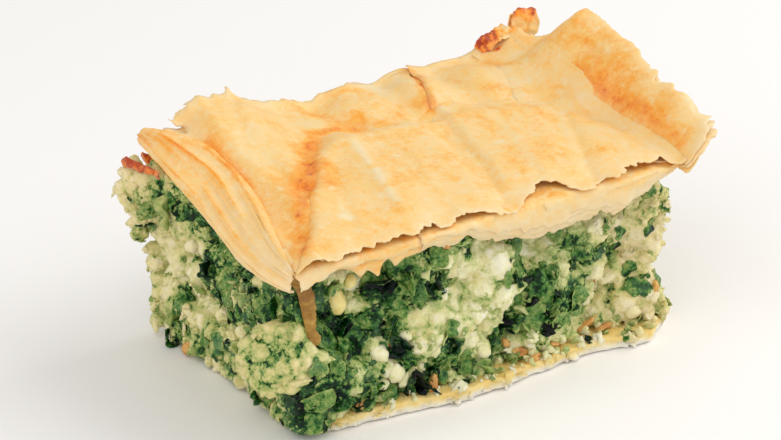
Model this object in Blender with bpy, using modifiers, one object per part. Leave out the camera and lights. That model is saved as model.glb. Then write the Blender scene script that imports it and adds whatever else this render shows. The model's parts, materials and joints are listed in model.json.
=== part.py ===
# A cut piece of spinach and cheese pie: a thin bottom pastry, a thick lumpy filling and a ruffled
# top crust that overhangs it. Metres, +Z up, the long cut side faces -Y and the short one faces -X.
# The origin is at the middle of the footprint of the whole piece, on the surface that it stands on.

import math

import bmesh
import bpy
import numpy as np
from mathutils import Vector, noise

MM = 0.001

# The block as it was cut from the pan, without what hangs over it.
BLOCK_LENGTH = 112 * MM
BLOCK_DEPTH = 71 * MM
HALF_LENGTH = BLOCK_LENGTH / 2
HALF_DEPTH = BLOCK_DEPTH / 2
GAP = 0.3 * MM

# The bottom pastry: a soaked, thin slab that shows past the filling as a lip.
BASE_THICKNESS = 3.4 * MM
BASE_EDGE_ROUND = 0.5 * MM
BASE_CORNER = 0.09
BASE_OUTLINE_POINTS = 72

# How far the bottom pastry reaches on each side, as (place along the side, reach), in mm.
BASE_EDGES = {
    "front": ((-54, -36.6), (-38, -36.4), (-28, -38), (-12, -41), (-2, -41), (15, -39),
              (26, -37.6), (36, -38.6), (45, -42), (56, -38)),
    "back": ((-55, 36.4), (-30, 37.4), (-8, 36.2), (18, 37.8), (40, 36.6), (56, 37)),
    "left": ((-36, -55), (-25, -54.5), (-14, -53), (-4, -53.5), (6, -55.5), (22, -54), (35, -55.5)),
    "right": ((-40, 57), (-31, 60), (-18, 58.4), (2, 57.2), (20, 58.6), (36, 57)),
}

# The filling, as a block with uneven sides.
FILLING_INSET = 1 * MM
FILLING_VOXEL = 3.95 * MM
FILLING_BLANK_TOP = 64 * MM
FILLING_MIDDLE = 24 * MM
COARSE_LUMP = 4.0 * MM
COARSE_LUMP_SIZE = 17 * MM
FINE_LUMP = 3.8 * MM
FINE_LUMP_SIZE = 10 * MM
LEFT_LEAN = 0.05
RIGHT_LEAN = -0.12
SIDE_NORMAL = 0.3
LUMP_SEED = Vector((3.1, 7.7, 1.3))

# Lumps and hollows of the cut faces: centre and radius in mm, and how far each one swells.
FILLING_BULGES = (
    {"name": "corner cheese", "at": (-54, -31, 23), "radius": 13, "swell": 4.2},
    {"name": "corner leaves", "at": (-51, -36, 9), "radius": 11, "swell": 3.4},
    {"name": "back left shoulder", "at": (-57, 34, 38), "radius": 11, "swell": 8.0},
    {"name": "dark leaf fold", "at": (-57, 35, 26), "radius": 8, "swell": 3.8},
    {"name": "left middle", "at": (-57, 2, 24), "radius": 12, "swell": 1.8},
    {"name": "front cheese", "at": (-3, -36, 29), "radius": 11, "swell": 2.6},
    {"name": "front leaves", "at": (-26, -36, 12), "radius": 10, "swell": 2.2},
    {"name": "front right leaves", "at": (21, -36, 17), "radius": 12, "swell": 2.2},
    {"name": "right shoulder", "at": (52, -30, 33), "radius": 11, "swell": 2.4},
    {"name": "back lump", "at": (14, 36, 26), "radius": 14, "swell": 2.4},
    {"name": "crack by the corner", "at": (-43, -37, 30), "radius": 8, "swell": -4.6},
    {"name": "right hollow", "at": (36, -37, 20), "radius": 7, "swell": -4.0},
    {"name": "left hollow", "at": (-57, 16, 16), "radius": 8, "swell": -2.6},
    {"name": "back hollow", "at": (-22, 37, 20), "radius": 8, "swell": -3.4},
)

# The top crust.
CRUST_CELLS = (38, 26)
CRUST_VOID_MARGIN = 5
CRUST_VOID_HEIGHT = 60 * MM
CRUST_LEVEL = 50 * MM
BACK_RISE = 1.6 * MM
FRONT_DROOP = 1.4 * MM
FRONT_DROOP_WIDTH = 9 * MM
RIPPLE_HEIGHT = 0.9 * MM
RIPPLES_ALONG = 5.5
RIPPLES_ACROSS = 3.5

# Its thickness: in the middle, along the back, at the hem's rim and at the lifted right end.
CRUST_THICK = 5.2 * MM
BACK_THICK = 2.8 * MM
HEM_THICK = 3.0 * MM
FLAP_THICK = 2.0 * MM
BACK_THIN_FROM = 22 * MM
FLAP_THIN_FROM = 42 * MM
THIN_RUN = 14 * MM

# How far the crust reaches on each side, as (place along the side, reach), in mm.
CRUST_EDGES = {
    "front": ((-62, -38), (-49, -41), (-34, -40), (-24, -40), (-10, -37.6), (0, -41),
              (13, -37), (21, -36.4), (25, -41), (37, -41), (47, -44), (55, -44), (61, -40), (66, -36)),
    "back": ((-60, 36), (-50, 39.5), (-38, 40), (-29, 39), (-18, 37), (-6, 35.6), (8, 36.8),
             (20, 36), (32, 37), (46, 34.5), (56, 37), (66, 36)),
    "left": ((-40, -60), (-25, -60.5), (-13, -59.5), (0, -58), (20, -57.6), (38, -56.4)),
    "right": ((-46, 62), (-37, 66), (-28, 64.6), (-16, 66), (4, 66), (16, 67.5), (25, 65),
              (38, 66)),
}

# The folded hem along the left side: how high its rim lies, as (place along Y, height), in mm.
HEM_RIM = ((-39, 46.5), (-25, 43.5), (-14, 43.5), (-4, 49), (8, 51), (22, 54), (38, 56))
HEM_WIDTH = 10.5 * MM
HEM_CROWN = 2.0 * MM
HEM_CROWN_AT = 0.62
HEM_CROWN_WIDTH = 0.28
HEM_GROOVE = 2.6 * MM
HEM_GROOVE_WIDTH = 2.0 * MM

# The flap at the right end, which curls up: where it starts and how far it rises, in mm.
FLAP_FOOT = ((-46, 54), (-12, 52.5), (2, 47), (22, 44), (38, 46))
FLAP_RISE = ((-46, 7), (-37, 8), (-24, 11), (-15, 13.5), (4, 15.5), (16, 18), (27, 7), (38, 6))
FLAP_EASE = 1.5

# The front panel lies over the other sheets. Its back edge, as (x, y) in mm.
PANEL_EDGE = ((-58, -40), (-46, -25), (-37, -10), (-29, 1), (-24, 8), (-12, 13), (8, 12),
              (30, 8), (45, 0), (51, -12), (54, -34))
PANEL_STEP = 2.2 * MM
PANEL_STEP_WIDTH = 2.6 * MM
PANEL_STEP_FADE = 16 * MM

# Swellings of the crust: centre, radii along X and Y, and height, in mm.
CRUST_PUFFS = (
    {"name": "back left dome", "at": (-38, 34), "radii": (15, 20), "height": 7.0},
    {"name": "back left peak", "at": (-29, 38), "radii": (5, 9), "height": 2.6},
    {"name": "back puff 1", "at": (3, 27), "radii": (10, 12), "height": 2.6},
    {"name": "back puff 2", "at": (21, 25), "radii": (8, 13), "height": 4.0},
    {"name": "back puff 3", "at": (38, 22), "radii": (9, 14), "height": 4.0},
    {"name": "back right curl", "at": (62, 36), "radii": (6, 5), "height": 6.0},
    {"name": "front middle", "at": (-18, -16), "radii": (24, 18), "height": 1.6},
    {"name": "front right", "at": (30, -22), "radii": (18, 18), "height": 1.4},
)

# Creases and ridges of the crust: both ends, half width and height, in mm.
CRUST_FOLDS = (
    {"name": "long crease", "from": (14, 11), "to": (3, -38), "width": 2.6, "height": -1.9},
    {"name": "right crease", "from": (42, -4), "to": (29, -38), "width": 2.4, "height": -1.6},
    {"name": "left ridge", "from": (-40, 34), "to": (-44, -18), "width": 3.2, "height": 2.0},
    {"name": "middle ridge", "from": (-30, 30), "to": (-35, -4), "width": 3.0, "height": 1.7},
    {"name": "centre ridge", "from": (-14, 10), "to": (-22, -38), "width": 3.6, "height": 1.3},
    {"name": "flap foot", "from": (50, 4), "to": (54, -42), "width": 2.4, "height": -2.0},
    {"name": "puff crease 1", "from": (-8, 36), "to": (-6, 16), "width": 2.4, "height": -1.6},
    {"name": "puff crease 2", "from": (13, 36), "to": (12, 15), "width": 2.2, "height": -2.2},
    {"name": "puff crease 3", "from": (30, 36), "to": (29, 12), "width": 2.2, "height": -2.2},
)

COLOURS = {
    "bottom_pastry": (0.90, 0.74, 0.42),
    "filling": (0.30, 0.42, 0.16),
    "top_pastry": (0.96, 0.68, 0.33),
}
FOOD_ROUGHNESS = {"bottom_pastry": 0.5, "filling": 0.45, "top_pastry": 0.6}


def smoothstep(t):
    t = min(max(t, 0.0), 1.0)
    return t * t * (3 - 2 * t)


def read_curve(table, at):
    """A smooth curve through a table of (place, value) in mm, read at a place in metres."""
    at /= MM
    if at <= table[0][0]:
        return table[0][1] * MM
    for (p0, r0), (p1, r1) in zip(table, table[1:]):
        if at <= p1:
            return (r0 + (r1 - r0) * smoothstep((at - p0) / (p1 - p0))) * MM
    return table[-1][1] * MM


def plan_point(u, v, edges):
    """The place of (u, v) between four uneven sides: u runs from left to right, v to the back."""
    x = -HALF_LENGTH + BLOCK_LENGTH * u
    y = -HALF_DEPTH + BLOCK_DEPTH * v
    for _ in range(3):
        left, right = read_curve(edges["left"], y), read_curve(edges["right"], y)
        front, back = read_curve(edges["front"], x), read_curve(edges["back"], x)
        x = left + (right - left) * u
        y = front + (back - front) * v
    return x, y


def distance_to_segment(x, y, start, end):
    """How far a point is from a segment that is given in mm."""
    foot = Vector(start) * MM
    run = Vector(end) * MM - foot
    point = Vector((x, y)) - foot
    along = min(max(point.dot(run) / run.length_squared, 0.0), 1.0)
    return (point - run * along).length


def puff_relief(x, y):
    total = 0.0
    for puff in CRUST_PUFFS:
        dx = (x / MM - puff["at"][0]) / puff["radii"][0]
        dy = (y / MM - puff["at"][1]) / puff["radii"][1]
        total += puff["height"] * math.exp(-(dx * dx + dy * dy))
    return total * MM


def fold_relief(x, y):
    total = 0.0
    for fold in CRUST_FOLDS:
        away = distance_to_segment(x, y, fold["from"], fold["to"]) / MM
        total += fold["height"] * math.exp(-((away / fold["width"]) ** 2))
    return total * MM


def flap_relief(x, y):
    """The right end curls up, higher towards the back, and drops off at its back corner."""
    foot = read_curve(FLAP_FOOT, y)
    run = read_curve(CRUST_EDGES["right"], y) - foot
    t = min(max((x - foot) / run, 0.0), 1.0)
    return read_curve(FLAP_RISE, y) * (1 - (1 - t) ** FLAP_EASE)


def panel_relief(x, y):
    """The front panel's back edge stands over the sheets behind it; the step fades forwards."""
    inside = read_curve(PANEL_EDGE, x) - y
    if inside <= 0 or x > PANEL_EDGE[-1][0] * MM:
        return 0.0
    return PANEL_STEP * smoothstep(inside / PANEL_STEP_WIDTH) * math.exp(-inside / PANEL_STEP_FADE)


def with_hem(level, x, y):
    """Bends a height down to the hem's rim, with a rounded crown and a groove behind it."""
    inward = (x - read_curve(CRUST_EDGES["left"], y)) / HEM_WIDTH
    rim = read_curve(HEM_RIM, y)
    height = rim + (level - rim) * smoothstep(inward)
    height += HEM_CROWN * math.exp(-(((inward - HEM_CROWN_AT) / HEM_CROWN_WIDTH) ** 2))
    groove = (inward - 1) * HEM_WIDTH / HEM_GROOVE_WIDTH
    return height - HEM_GROOVE * math.exp(-groove * groove)


def crust_top(x, y):
    level = CRUST_LEVEL + BACK_RISE * smoothstep((y + HALF_DEPTH) / BLOCK_DEPTH)
    from_front = y - read_curve(CRUST_EDGES["front"], x)
    level -= FRONT_DROOP * (1 - smoothstep(from_front / FRONT_DROOP_WIDTH))
    level += puff_relief(x, y) + fold_relief(x, y) + flap_relief(x, y) + panel_relief(x, y)
    return with_hem(level, x, y)


def crust_thickness(x, y):
    """Thick over the filling, thin at the hem's rim and where the sheets lift."""
    back = smoothstep((y - BACK_THIN_FROM) / THIN_RUN)
    flap = smoothstep((x - FLAP_THIN_FROM) / THIN_RUN)
    hem = 1 - smoothstep((x - read_curve(CRUST_EDGES["left"], y)) / HEM_WIDTH)
    thick = CRUST_THICK + (BACK_THICK - CRUST_THICK) * back
    thick += (HEM_THICK - thick) * hem
    return thick + (FLAP_THICK - thick) * flap


def crust_ripple(u, v):
    """Small ruffles that grow towards the rim."""
    rim = max(abs(2 * u - 1), abs(2 * v - 1)) ** 4
    along = math.sin(2 * math.pi * (RIPPLES_ALONG * u + v))
    return RIPPLE_HEIGHT * rim * along * math.cos(2 * math.pi * RIPPLES_ACROSS * v)


def place(name, data, collection):
    obj = bpy.data.objects.new(name, data)
    collection.objects.link(obj)
    return obj


def mesh_object(name, bm, collection):
    bmesh.ops.recalc_face_normals(bm, faces=bm.faces)
    mesh = bpy.data.meshes.new(name)
    bm.to_mesh(mesh)
    bm.free()
    return place(name, mesh, collection)


def crust_slab(name, collection, margin, sink, thickness):
    """A sheet on the crust's underside, extruded upwards.

    margin adds rows outside the rim, sink lowers the sheet, and thickness gives its height."""
    columns, rows = CRUST_CELLS
    wide = (columns + 2 * margin) / columns
    deep = (rows + 2 * margin) / rows
    bm = bmesh.new()
    bmesh.ops.create_grid(bm, x_segments=columns + 2 * margin, y_segments=rows + 2 * margin,
                          size=0.5)
    for vert in bm.verts:
        u, v = 0.5 + vert.co.x * wide, 0.5 + vert.co.y * deep
        x, y = plan_point(u, v, CRUST_EDGES)
        ripple = crust_ripple(min(max(u, 0), 1), min(max(v, 0), 1))
        vert.co = Vector((x, y, crust_top(x, y) + ripple - crust_thickness(x, y) - sink))
    bmesh.ops.triangulate(bm, faces=bm.faces)
    lifted = bmesh.ops.extrude_face_region(bm, geom=list(bm.faces))
    for item in lifted["geom"]:
        if isinstance(item, bmesh.types.BMVert):
            item.co.z += thickness(item.co.x, item.co.y)
    return mesh_object(name, bm, collection)


def make_crust(collection):
    return crust_slab("top_pastry", collection, 0, 0.0, crust_thickness)


def base_outline():
    """Points at even steps round a square with cut corners, carried to the pastry's sides."""
    square = [(0, BASE_CORNER), (BASE_CORNER, 0), (1 - BASE_CORNER, 0), (1, BASE_CORNER),
              (1, 1 - BASE_CORNER), (1 - BASE_CORNER, 1), (BASE_CORNER, 1), (0, 1 - BASE_CORNER)]
    corners = [Vector(corner) for corner in square]
    sides = list(zip(corners, corners[1:] + corners[:1]))
    round_trip = sum((end - start).length for start, end in sides)
    points = []
    for i in range(BASE_OUTLINE_POINTS):
        left = round_trip * i / BASE_OUTLINE_POINTS
        for start, end in sides:
            length = (end - start).length
            if left < length:
                spot = start.lerp(end, left / length)
                points.append(plan_point(spot.x, spot.y, BASE_EDGES))
                break
            left -= length
    return points


def make_base(collection):
    curve = bpy.data.curves.new("bottom_pastry", "CURVE")
    curve.dimensions = "2D"
    curve.fill_mode = "BOTH"
    curve.extrude = BASE_THICKNESS / 2 - BASE_EDGE_ROUND
    curve.bevel_depth = BASE_EDGE_ROUND
    curve.bevel_resolution = 1
    outline = base_outline()
    spline = curve.splines.new("POLY")
    spline.points.add(len(outline) - 1)
    for point, (x, y) in zip(spline.points, outline):
        point.co = (x, y, 0, 1)
    spline.use_cyclic_u = True
    base = place("bottom_pastry", curve, collection)
    base.location.z = BASE_THICKNESS / 2
    return base


def filling_swell(point, outward):
    """How far a side stands out at a point: two sizes of lumps, the named bulges and a lean."""
    swell = COARSE_LUMP * noise.noise(point / COARSE_LUMP_SIZE + LUMP_SEED)
    swell += FINE_LUMP * noise.noise(point / FINE_LUMP_SIZE - LUMP_SEED)
    lean = RIGHT_LEAN * max(outward.x, 0) + LEFT_LEAN * max(-outward.x, 0)
    swell += lean * (point.z - FILLING_MIDDLE)
    for bulge in FILLING_BULGES:
        away = (point - Vector(bulge["at"]) * MM).length / (bulge["radius"] * MM)
        swell += bulge["swell"] * MM * math.exp(-away * away)
    return swell


def filling_blank(helpers):
    """The block that the filling is worked from, with even faces all over."""
    bm = bmesh.new()
    bmesh.ops.create_cube(bm, size=1)
    for vert in bm.verts:
        vert.co.x *= BLOCK_LENGTH - 2 * FILLING_INSET
        vert.co.y *= BLOCK_DEPTH - 2 * FILLING_INSET
        vert.co.z = BASE_THICKNESS + GAP if vert.co.z < 0 else FILLING_BLANK_TOP
    blank = mesh_object("filling_blank", bm, helpers)
    remesh = blank.modifiers.new("even faces", "REMESH")
    remesh.mode = "VOXEL"
    remesh.voxel_size = FILLING_VOXEL
    bpy.context.view_layer.update()
    shape = blank.evaluated_get(bpy.context.evaluated_depsgraph_get())
    mesh = bpy.data.meshes.new_from_object(shape)
    bpy.data.objects.remove(blank)
    return mesh


def make_filling(collection, helpers):
    mesh = filling_blank(helpers)
    floor = BASE_THICKNESS + GAP
    lift = floor - min(vert.co.z for vert in mesh.vertices)
    normals = [Vector((vert.normal.x, vert.normal.y, 0)) for vert in mesh.vertices]
    for vert, outward in zip(mesh.vertices, normals):
        vert.co.z += lift
        if vert.co.z < floor + FILLING_VOXEL / 2:
            vert.co.z = floor
        if outward.length > SIDE_NORMAL:
            outward.normalize()
            vert.co += outward * filling_swell(vert.co, outward)
    filling = place("filling", mesh, collection)
    void = crust_slab("crust_void", helpers, CRUST_VOID_MARGIN, GAP,
                      lambda x, y: CRUST_VOID_HEIGHT)
    void.hide_render = True
    void.display_type = "WIRE"
    cut = filling.modifiers.new("room for the crust", "BOOLEAN")
    cut.operation = "DIFFERENCE"
    cut.object = void
    return filling


def finish(obj):
    material = bpy.data.materials.new(obj.name)
    material.use_nodes = True
    shader = material.node_tree.nodes["Principled BSDF"]
    shader.inputs["Base Color"].default_value = (*COLOURS[obj.name], 1)
    shader.inputs["Roughness"].default_value = FOOD_ROUGHNESS[obj.name]
    shader.inputs["Metallic"].default_value = 0.0
    obj.data.materials.append(material)
    if obj.type == "MESH":
        obj.data.shade_smooth()


def centre_on_footprint(pieces):
    """Moves the piece so that the origin is at the middle of its footprint."""
    bpy.context.view_layer.update()
    graph = bpy.context.evaluated_depsgraph_get()
    corners = []
    for obj in pieces:
        shape = obj.evaluated_get(graph)
        corners += [shape.matrix_world @ Vector(corner) for corner in shape.bound_box]
    points = np.array(corners)
    middle = (points.min(axis=0) + points.max(axis=0)) / 2
    for obj in bpy.data.objects:
        obj.location.x -= middle[0]
        obj.location.y -= middle[1]


def main():
    for obj in list(bpy.data.objects):
        bpy.data.objects.remove(obj)
    pie = bpy.data.collections.new("spanakopita_piece")
    helpers = bpy.data.collections.new("cutters")
    for collection in (pie, helpers):
        bpy.context.scene.collection.children.link(collection)
    pieces = [make_base(pie), make_filling(pie, helpers), make_crust(pie)]
    for piece in pieces:
        finish(piece)
    centre_on_footprint(pieces)


main()
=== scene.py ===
import itertools
import json
import math

import bmesh
import bpy
import numpy as np
from mathutils import Matrix, Vector, geometry
from mathutils.bvhtree import BVHTree

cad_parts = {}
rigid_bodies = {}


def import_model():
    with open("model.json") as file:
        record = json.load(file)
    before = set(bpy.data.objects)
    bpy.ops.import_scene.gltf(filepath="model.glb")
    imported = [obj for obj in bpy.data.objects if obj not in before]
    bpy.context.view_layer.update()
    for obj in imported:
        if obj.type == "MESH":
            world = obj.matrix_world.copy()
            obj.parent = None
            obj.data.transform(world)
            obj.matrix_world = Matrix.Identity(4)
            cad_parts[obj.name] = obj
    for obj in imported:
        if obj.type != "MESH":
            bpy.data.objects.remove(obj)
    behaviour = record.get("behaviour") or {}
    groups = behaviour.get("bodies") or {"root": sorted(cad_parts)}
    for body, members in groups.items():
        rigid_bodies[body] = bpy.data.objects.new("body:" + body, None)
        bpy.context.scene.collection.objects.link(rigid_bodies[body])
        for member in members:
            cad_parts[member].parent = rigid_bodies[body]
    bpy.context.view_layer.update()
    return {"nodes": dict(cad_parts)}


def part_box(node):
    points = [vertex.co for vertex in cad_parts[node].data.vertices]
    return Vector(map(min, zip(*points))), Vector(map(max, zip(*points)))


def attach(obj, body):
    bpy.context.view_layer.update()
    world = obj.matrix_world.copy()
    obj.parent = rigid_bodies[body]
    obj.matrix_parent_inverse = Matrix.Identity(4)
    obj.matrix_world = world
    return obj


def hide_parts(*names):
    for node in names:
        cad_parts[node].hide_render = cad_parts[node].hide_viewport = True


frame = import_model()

mm = 0.001
baseLow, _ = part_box("bottom_pastry")
block = {"leftOfMiddle": 55.5, "frontOfMiddle": 42.0}  # how far the base reaches from the block's middle
origin = np.array([baseLow.x / mm + block["leftOfMiddle"], baseLow.y / mm + block["frontOfMiddle"], 0.0])


# numbers that vary over space

def smooth(t):
    t = np.clip(t, 0.0, 1.0)
    return t * t * (3 - 2 * t)


def bell(distance, width):
    return np.exp(-(distance / width) ** 2)


def noiseTable(seed):
    rng = np.random.default_rng(seed)
    arrows = rng.normal(size=(256, 3))
    return rng.permutation(256), arrows / np.linalg.norm(arrows, axis=1)[:, None]


def hashed(order, cell):
    return order[(order[(order[cell[:, 0] % 256] + cell[:, 1]) % 256] + cell[:, 2]) % 256]


def waves(points, size, seed):  # gradient noise, about -0.7 to 0.7
    order, arrows = noiseTable(seed)
    spots = np.asarray(points, float) / size
    cell = np.floor(spots).astype(int)
    local = spots - cell
    fade = local ** 3 * (local * (local * 6 - 15) + 10)
    total = np.zeros(len(spots))
    for corner in itertools.product((0, 1), repeat=3):
        weight = np.prod(np.where(corner, fade, 1 - fade), axis=1)
        total += weight * ((local - corner) * arrows[hashed(order, cell + corner)]).sum(axis=1)
    return total


def layeredWaves(points, size, octaves, seed):
    return sum(waves(points, size / 2 ** k, seed + k) * 0.5 ** k for k in range(octaves))


def lumps(points, size, seed):  # distances to the nearest two scattered centres
    order, arrows = noiseTable(seed)
    spots = np.asarray(points, float) / size
    cell = np.floor(spots).astype(int)
    best = np.full((len(spots), 2), 9.0)
    for step in itertools.product((-1, 0, 1), repeat=3):
        there = cell + step
        away = np.linalg.norm(there + 0.5 + 0.62 * arrows[hashed(order, there)] - spots, axis=1)
        nearer = away < best[:, 0]
        best[:, 1] = np.where(nearer, best[:, 0], np.minimum(best[:, 1], away))
        best[:, 0] = np.where(nearer, away, best[:, 0])
    return best[:, 0], best[:, 1]


def lineDistance(spots, line):  # distance to a bent line, and the side, positive to its left
    spots = np.asarray(spots, float)[:, :2]
    line = np.asarray(line, float)[:, :2]
    best, side = np.full(len(spots), 1e9), np.zeros(len(spots))
    for start, end in zip(line[:-1], line[1:]):
        run, toSpot = end - start, spots - start
        share = np.clip(toSpot @ run / (run @ run + 1e-9), 0, 1)
        away = np.hypot(*(toSpot - share[:, None] * run).T)
        nearer = away < best
        best = np.where(nearer, away, best)
        side = np.where(nearer, np.sign(run[0] * toSpot[:, 1] - run[1] * toSpot[:, 0]), side)
    return best, side


def insideOutline(spots, outline):
    within = np.zeros(len(spots), bool)
    x, y = spots[:, 0], spots[:, 1]
    for (ax, ay), (bx, by) in zip(outline, np.roll(outline, -1, axis=0)):
        crosses = (ay > y) != (by > y)
        if crosses.any():
            within ^= crosses & (x < (bx - ax) * (y - ay) / (by - ay + 1e-12) + ax)
    return within


def curveThrough(points, step=None, count=None, closed=False, places=3):
    # a smooth curve through the points at even steps, measured over the first places columns
    points = np.asarray(points, float)
    total, fine = len(points), []
    for i in range(total if closed else total - 1):
        near = [i + k - 1 for k in range(4)]
        near = [k % total for k in near] if closed else [min(max(k, 0), total - 1) for k in near]
        a, b, c, d = points[near]
        t = np.linspace(0, 1, 10, endpoint=False)[:, None]
        fine.append(0.5 * (2 * b + (c - a) * t + (2 * a - 5 * b + 4 * c - d) * t ** 2
                           + (3 * b - a - 3 * c + d) * t ** 3))
    fine = np.vstack(fine + [points[:1] if closed else points[-1:]])
    runs = np.linalg.norm(np.diff(fine[:, :places], axis=0), axis=1)
    lengths = np.concatenate([[0], np.cumsum(runs)])
    count = count or max(int(lengths[-1] / step), 3) + 1
    spots = np.linspace(0, lengths[-1], count + 1 if closed else count)
    even = np.column_stack([np.interp(spots, lengths, column) for column in fine.T])
    return even[:-1] if closed else even


# meshes

def placed(name, data):
    obj = bpy.data.objects.new(name, data)
    bpy.context.scene.collection.objects.link(obj)
    return obj


def meshBuilt(name, points, faces, **marks):
    mesh = bpy.data.meshes.new(name)
    mesh.from_pydata(((np.asarray(points, float) + origin) * mm).tolist(), [], [list(map(int, f)) for f in faces])
    for key, values in marks.items():
        mesh.attributes.new(key, "FLOAT", "POINT").data.foreach_set("value", np.asarray(values, np.float32))
    mesh.shade_smooth()
    return placed(name, mesh)


def gridFaces(rows, columns):
    index = np.arange(rows * columns).reshape(rows, columns)
    corners = index[:-1, :-1], index[1:, :-1], index[1:, 1:], index[:-1, 1:]
    return np.stack([c.ravel() for c in corners], axis=1)


def settled(obj):  # its modifiers worked into a plain mesh
    bpy.context.view_layer.update()
    shape = obj.evaluated_get(bpy.context.evaluated_depsgraph_get())
    mesh = bpy.data.meshes.new_from_object(shape)
    old = obj.data
    obj.modifiers.clear()
    obj.data = mesh
    bpy.data.meshes.remove(old)
    mesh.shade_smooth()
    return obj


def thickened(obj, thick, offset=0.0):
    wall = obj.modifiers.new("wall", "SOLIDIFY")
    wall.thickness, wall.offset = thick * mm, offset
    return settled(obj)


def regrained(obj, voxel, rounds):  # its skin rebuilt at an even grain, then softened
    grain = obj.modifiers.new("grain", "REMESH")
    grain.mode, grain.voxel_size, grain.use_smooth_shade = "VOXEL", voxel * mm, True
    soften = obj.modifiers.new("soften", "SMOOTH")
    soften.factor, soften.iterations = 0.5, rounds
    return settled(obj)


def pointsOf(mesh):
    co = np.empty(len(mesh.vertices) * 3, np.float32)
    mesh.vertices.foreach_get("co", co)
    return co.reshape(-1, 3).astype(float) / mm - origin


def normalsOf(mesh):
    arrows = np.empty(len(mesh.vertices) * 3, np.float32)
    mesh.vertex_normals.foreach_get("vector", arrows)
    return arrows.reshape(-1, 3).astype(float)


def movePoints(mesh, points):
    mesh.vertices.foreach_set("co", ((points + origin) * mm).astype(np.float32).ravel())
    mesh.update()


def markPoints(mesh, name, values):
    mark = mesh.attributes.get(name) or mesh.attributes.new(name, "FLOAT", "POINT")
    mark.data.foreach_set("value", np.asarray(values, np.float32))


def markOf(mesh, name):
    values = np.zeros(len(mesh.vertices), np.float32)
    if mesh.attributes.get(name):
        mesh.attributes[name].data.foreach_get("value", values)
    return values


def joined(name, pieces):
    marks = sorted({a.name for p in pieces for a in p.data.attributes if a.data_type == "FLOAT"})
    values = {mark: np.concatenate([markOf(p.data, mark) for p in pieces]) for mark in marks}
    bm = bmesh.new()
    for piece in pieces:
        bm.from_mesh(piece.data)
    mesh = bpy.data.meshes.new(name)
    bm.to_mesh(mesh)
    bm.free()
    for mark in marks:
        markPoints(mesh, mark, values[mark])
    mesh.shade_smooth()
    for piece in pieces:
        bpy.data.objects.remove(piece)
    return placed(name, mesh)


tableGap = {"from": 0.3, "fade": 0.5}  # below this height a piece is pressed up off the table


def finished(obj, material, slot, *nodes):
    points = pointsOf(obj.data)
    z, low = points[:, 2], tableGap["from"]
    points[:, 2] = np.where(z < low, low * np.exp(np.minimum(z - low, 0) / tableGap["fade"]), z)
    movePoints(obj.data, points)
    obj.data.materials.clear()
    obj.data.materials.append(material)
    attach(obj, "root")
    if nodes:
        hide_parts(*nodes)
    obj.data.calc_loop_triangles()
    print("made", obj.name, len(obj.data.loop_triangles), "triangles")
    return obj


def wholeCopy(node):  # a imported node's mesh with its loose triangles merged
    bm = bmesh.new()
    bm.from_mesh(frame["nodes"][node].data)
    bmesh.ops.remove_doubles(bm, verts=bm.verts, dist=0.02 * mm)
    mesh = bpy.data.meshes.new(node + "Copy")
    bm.to_mesh(mesh)
    bm.free()
    return mesh


def treeOf(mesh):
    return BVHTree.FromPolygons([Vector(p) for p in pointsOf(mesh)], [p.vertices[:] for p in mesh.polygons])


# finishes

def linear(red, green, blue):
    return tuple(c / 255 / 12.92 if c <= 10 else ((c / 255 + 0.055) / 1.055) ** 2.4
                 for c in (red, green, blue)) + (1.0,)


def addedNode(tree, kind, settings=None, **inputs):
    # a node with its settings made and its inputs set or linked, by name or as i0, i1 and so on
    made = tree.nodes.new(kind)
    for key, value in (settings or {}).items():
        setattr(made, key, value)
    for key, value in inputs.items():
        socket = made.inputs[int(key[1:]) if key[1:].isdigit() else key.replace("_", " ")]
        if isinstance(value, bpy.types.NodeSocket):
            tree.links.new(value, socket)
        else:
            socket.default_value = value
    return made


class Finish:
    # a material whose nodes are added and joined in one call each
    def __init__(self, name, **values):
        self.material = bpy.data.materials.new(name)
        self.material.use_nodes = True
        self.tree = self.material.node_tree
        self.shader = self.tree.nodes["Principled BSDF"]
        for key, value in values.items():
            self.shader.inputs[key.replace("_", " ")].default_value = value
        self.place = self.node("ShaderNodeTexCoord").outputs["Object"]

    def node(self, kind, settings=None, **inputs):
        return addedNode(self.tree, kind, settings, **inputs)

    def noise(self, size, detail=3.0, rough=0.55, place=None, warp=0.0):
        return self.node("ShaderNodeTexNoise", Vector=place or self.place, Scale=1 / (size * mm), Detail=detail,
                         Roughness=rough, Distortion=warp).outputs["Fac"]

    def stretched(self, scale, turn=(0, 0, 0)):
        return self.node("ShaderNodeMapping", Vector=self.place, Scale=scale, Rotation=turn).outputs["Vector"]

    def mark(self, name):
        return self.node("ShaderNodeAttribute", {"attribute_name": name}).outputs["Fac"]

    def sum(self, a, b, operation="ADD"):
        return self.node("ShaderNodeMath", {"operation": operation}, i0=a, i1=b).outputs[0]

    def times(self, a, b):
        return self.sum(a, b, "MULTIPLY")

    def scaled(self, value, low, high, fromLow=0.0, fromHigh=1.0):
        return self.node("ShaderNodeMapRange", Value=value, i1=fromLow, i2=fromHigh, i3=low, i4=high).outputs[0]

    def ramp(self, value, *stops, dim=(1.0, 1.0, 1.0)):
        made = self.node("ShaderNodeValToRGB", Fac=value)
        bands = made.color_ramp.elements
        while len(bands) < len(stops):
            bands.new(0.5)
        for band, (at, colour) in zip(bands, stops):
            band.position, band.color = at, [c * d for c, d in zip(linear(*colour), dim)] + [1.0]
        return made.outputs["Color"]

    def mixed(self, share, a, b):
        return self.node("ShaderNodeMix", {"data_type": "RGBA"}, i0=share, i6=a, i7=b).outputs[2]

    def bump(self, height, strength, depth, under=None):
        made = self.node("ShaderNodeBump", Height=height, Strength=strength, Distance=depth * mm)
        if under:
            self.tree.links.new(under, made.inputs["Normal"])
        return made.outputs["Normal"]

    def wear(self, **inputs):
        for key, value in inputs.items():
            self.tree.links.new(value, self.shader.inputs[key.replace("_", " ")])
        return self.material


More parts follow.
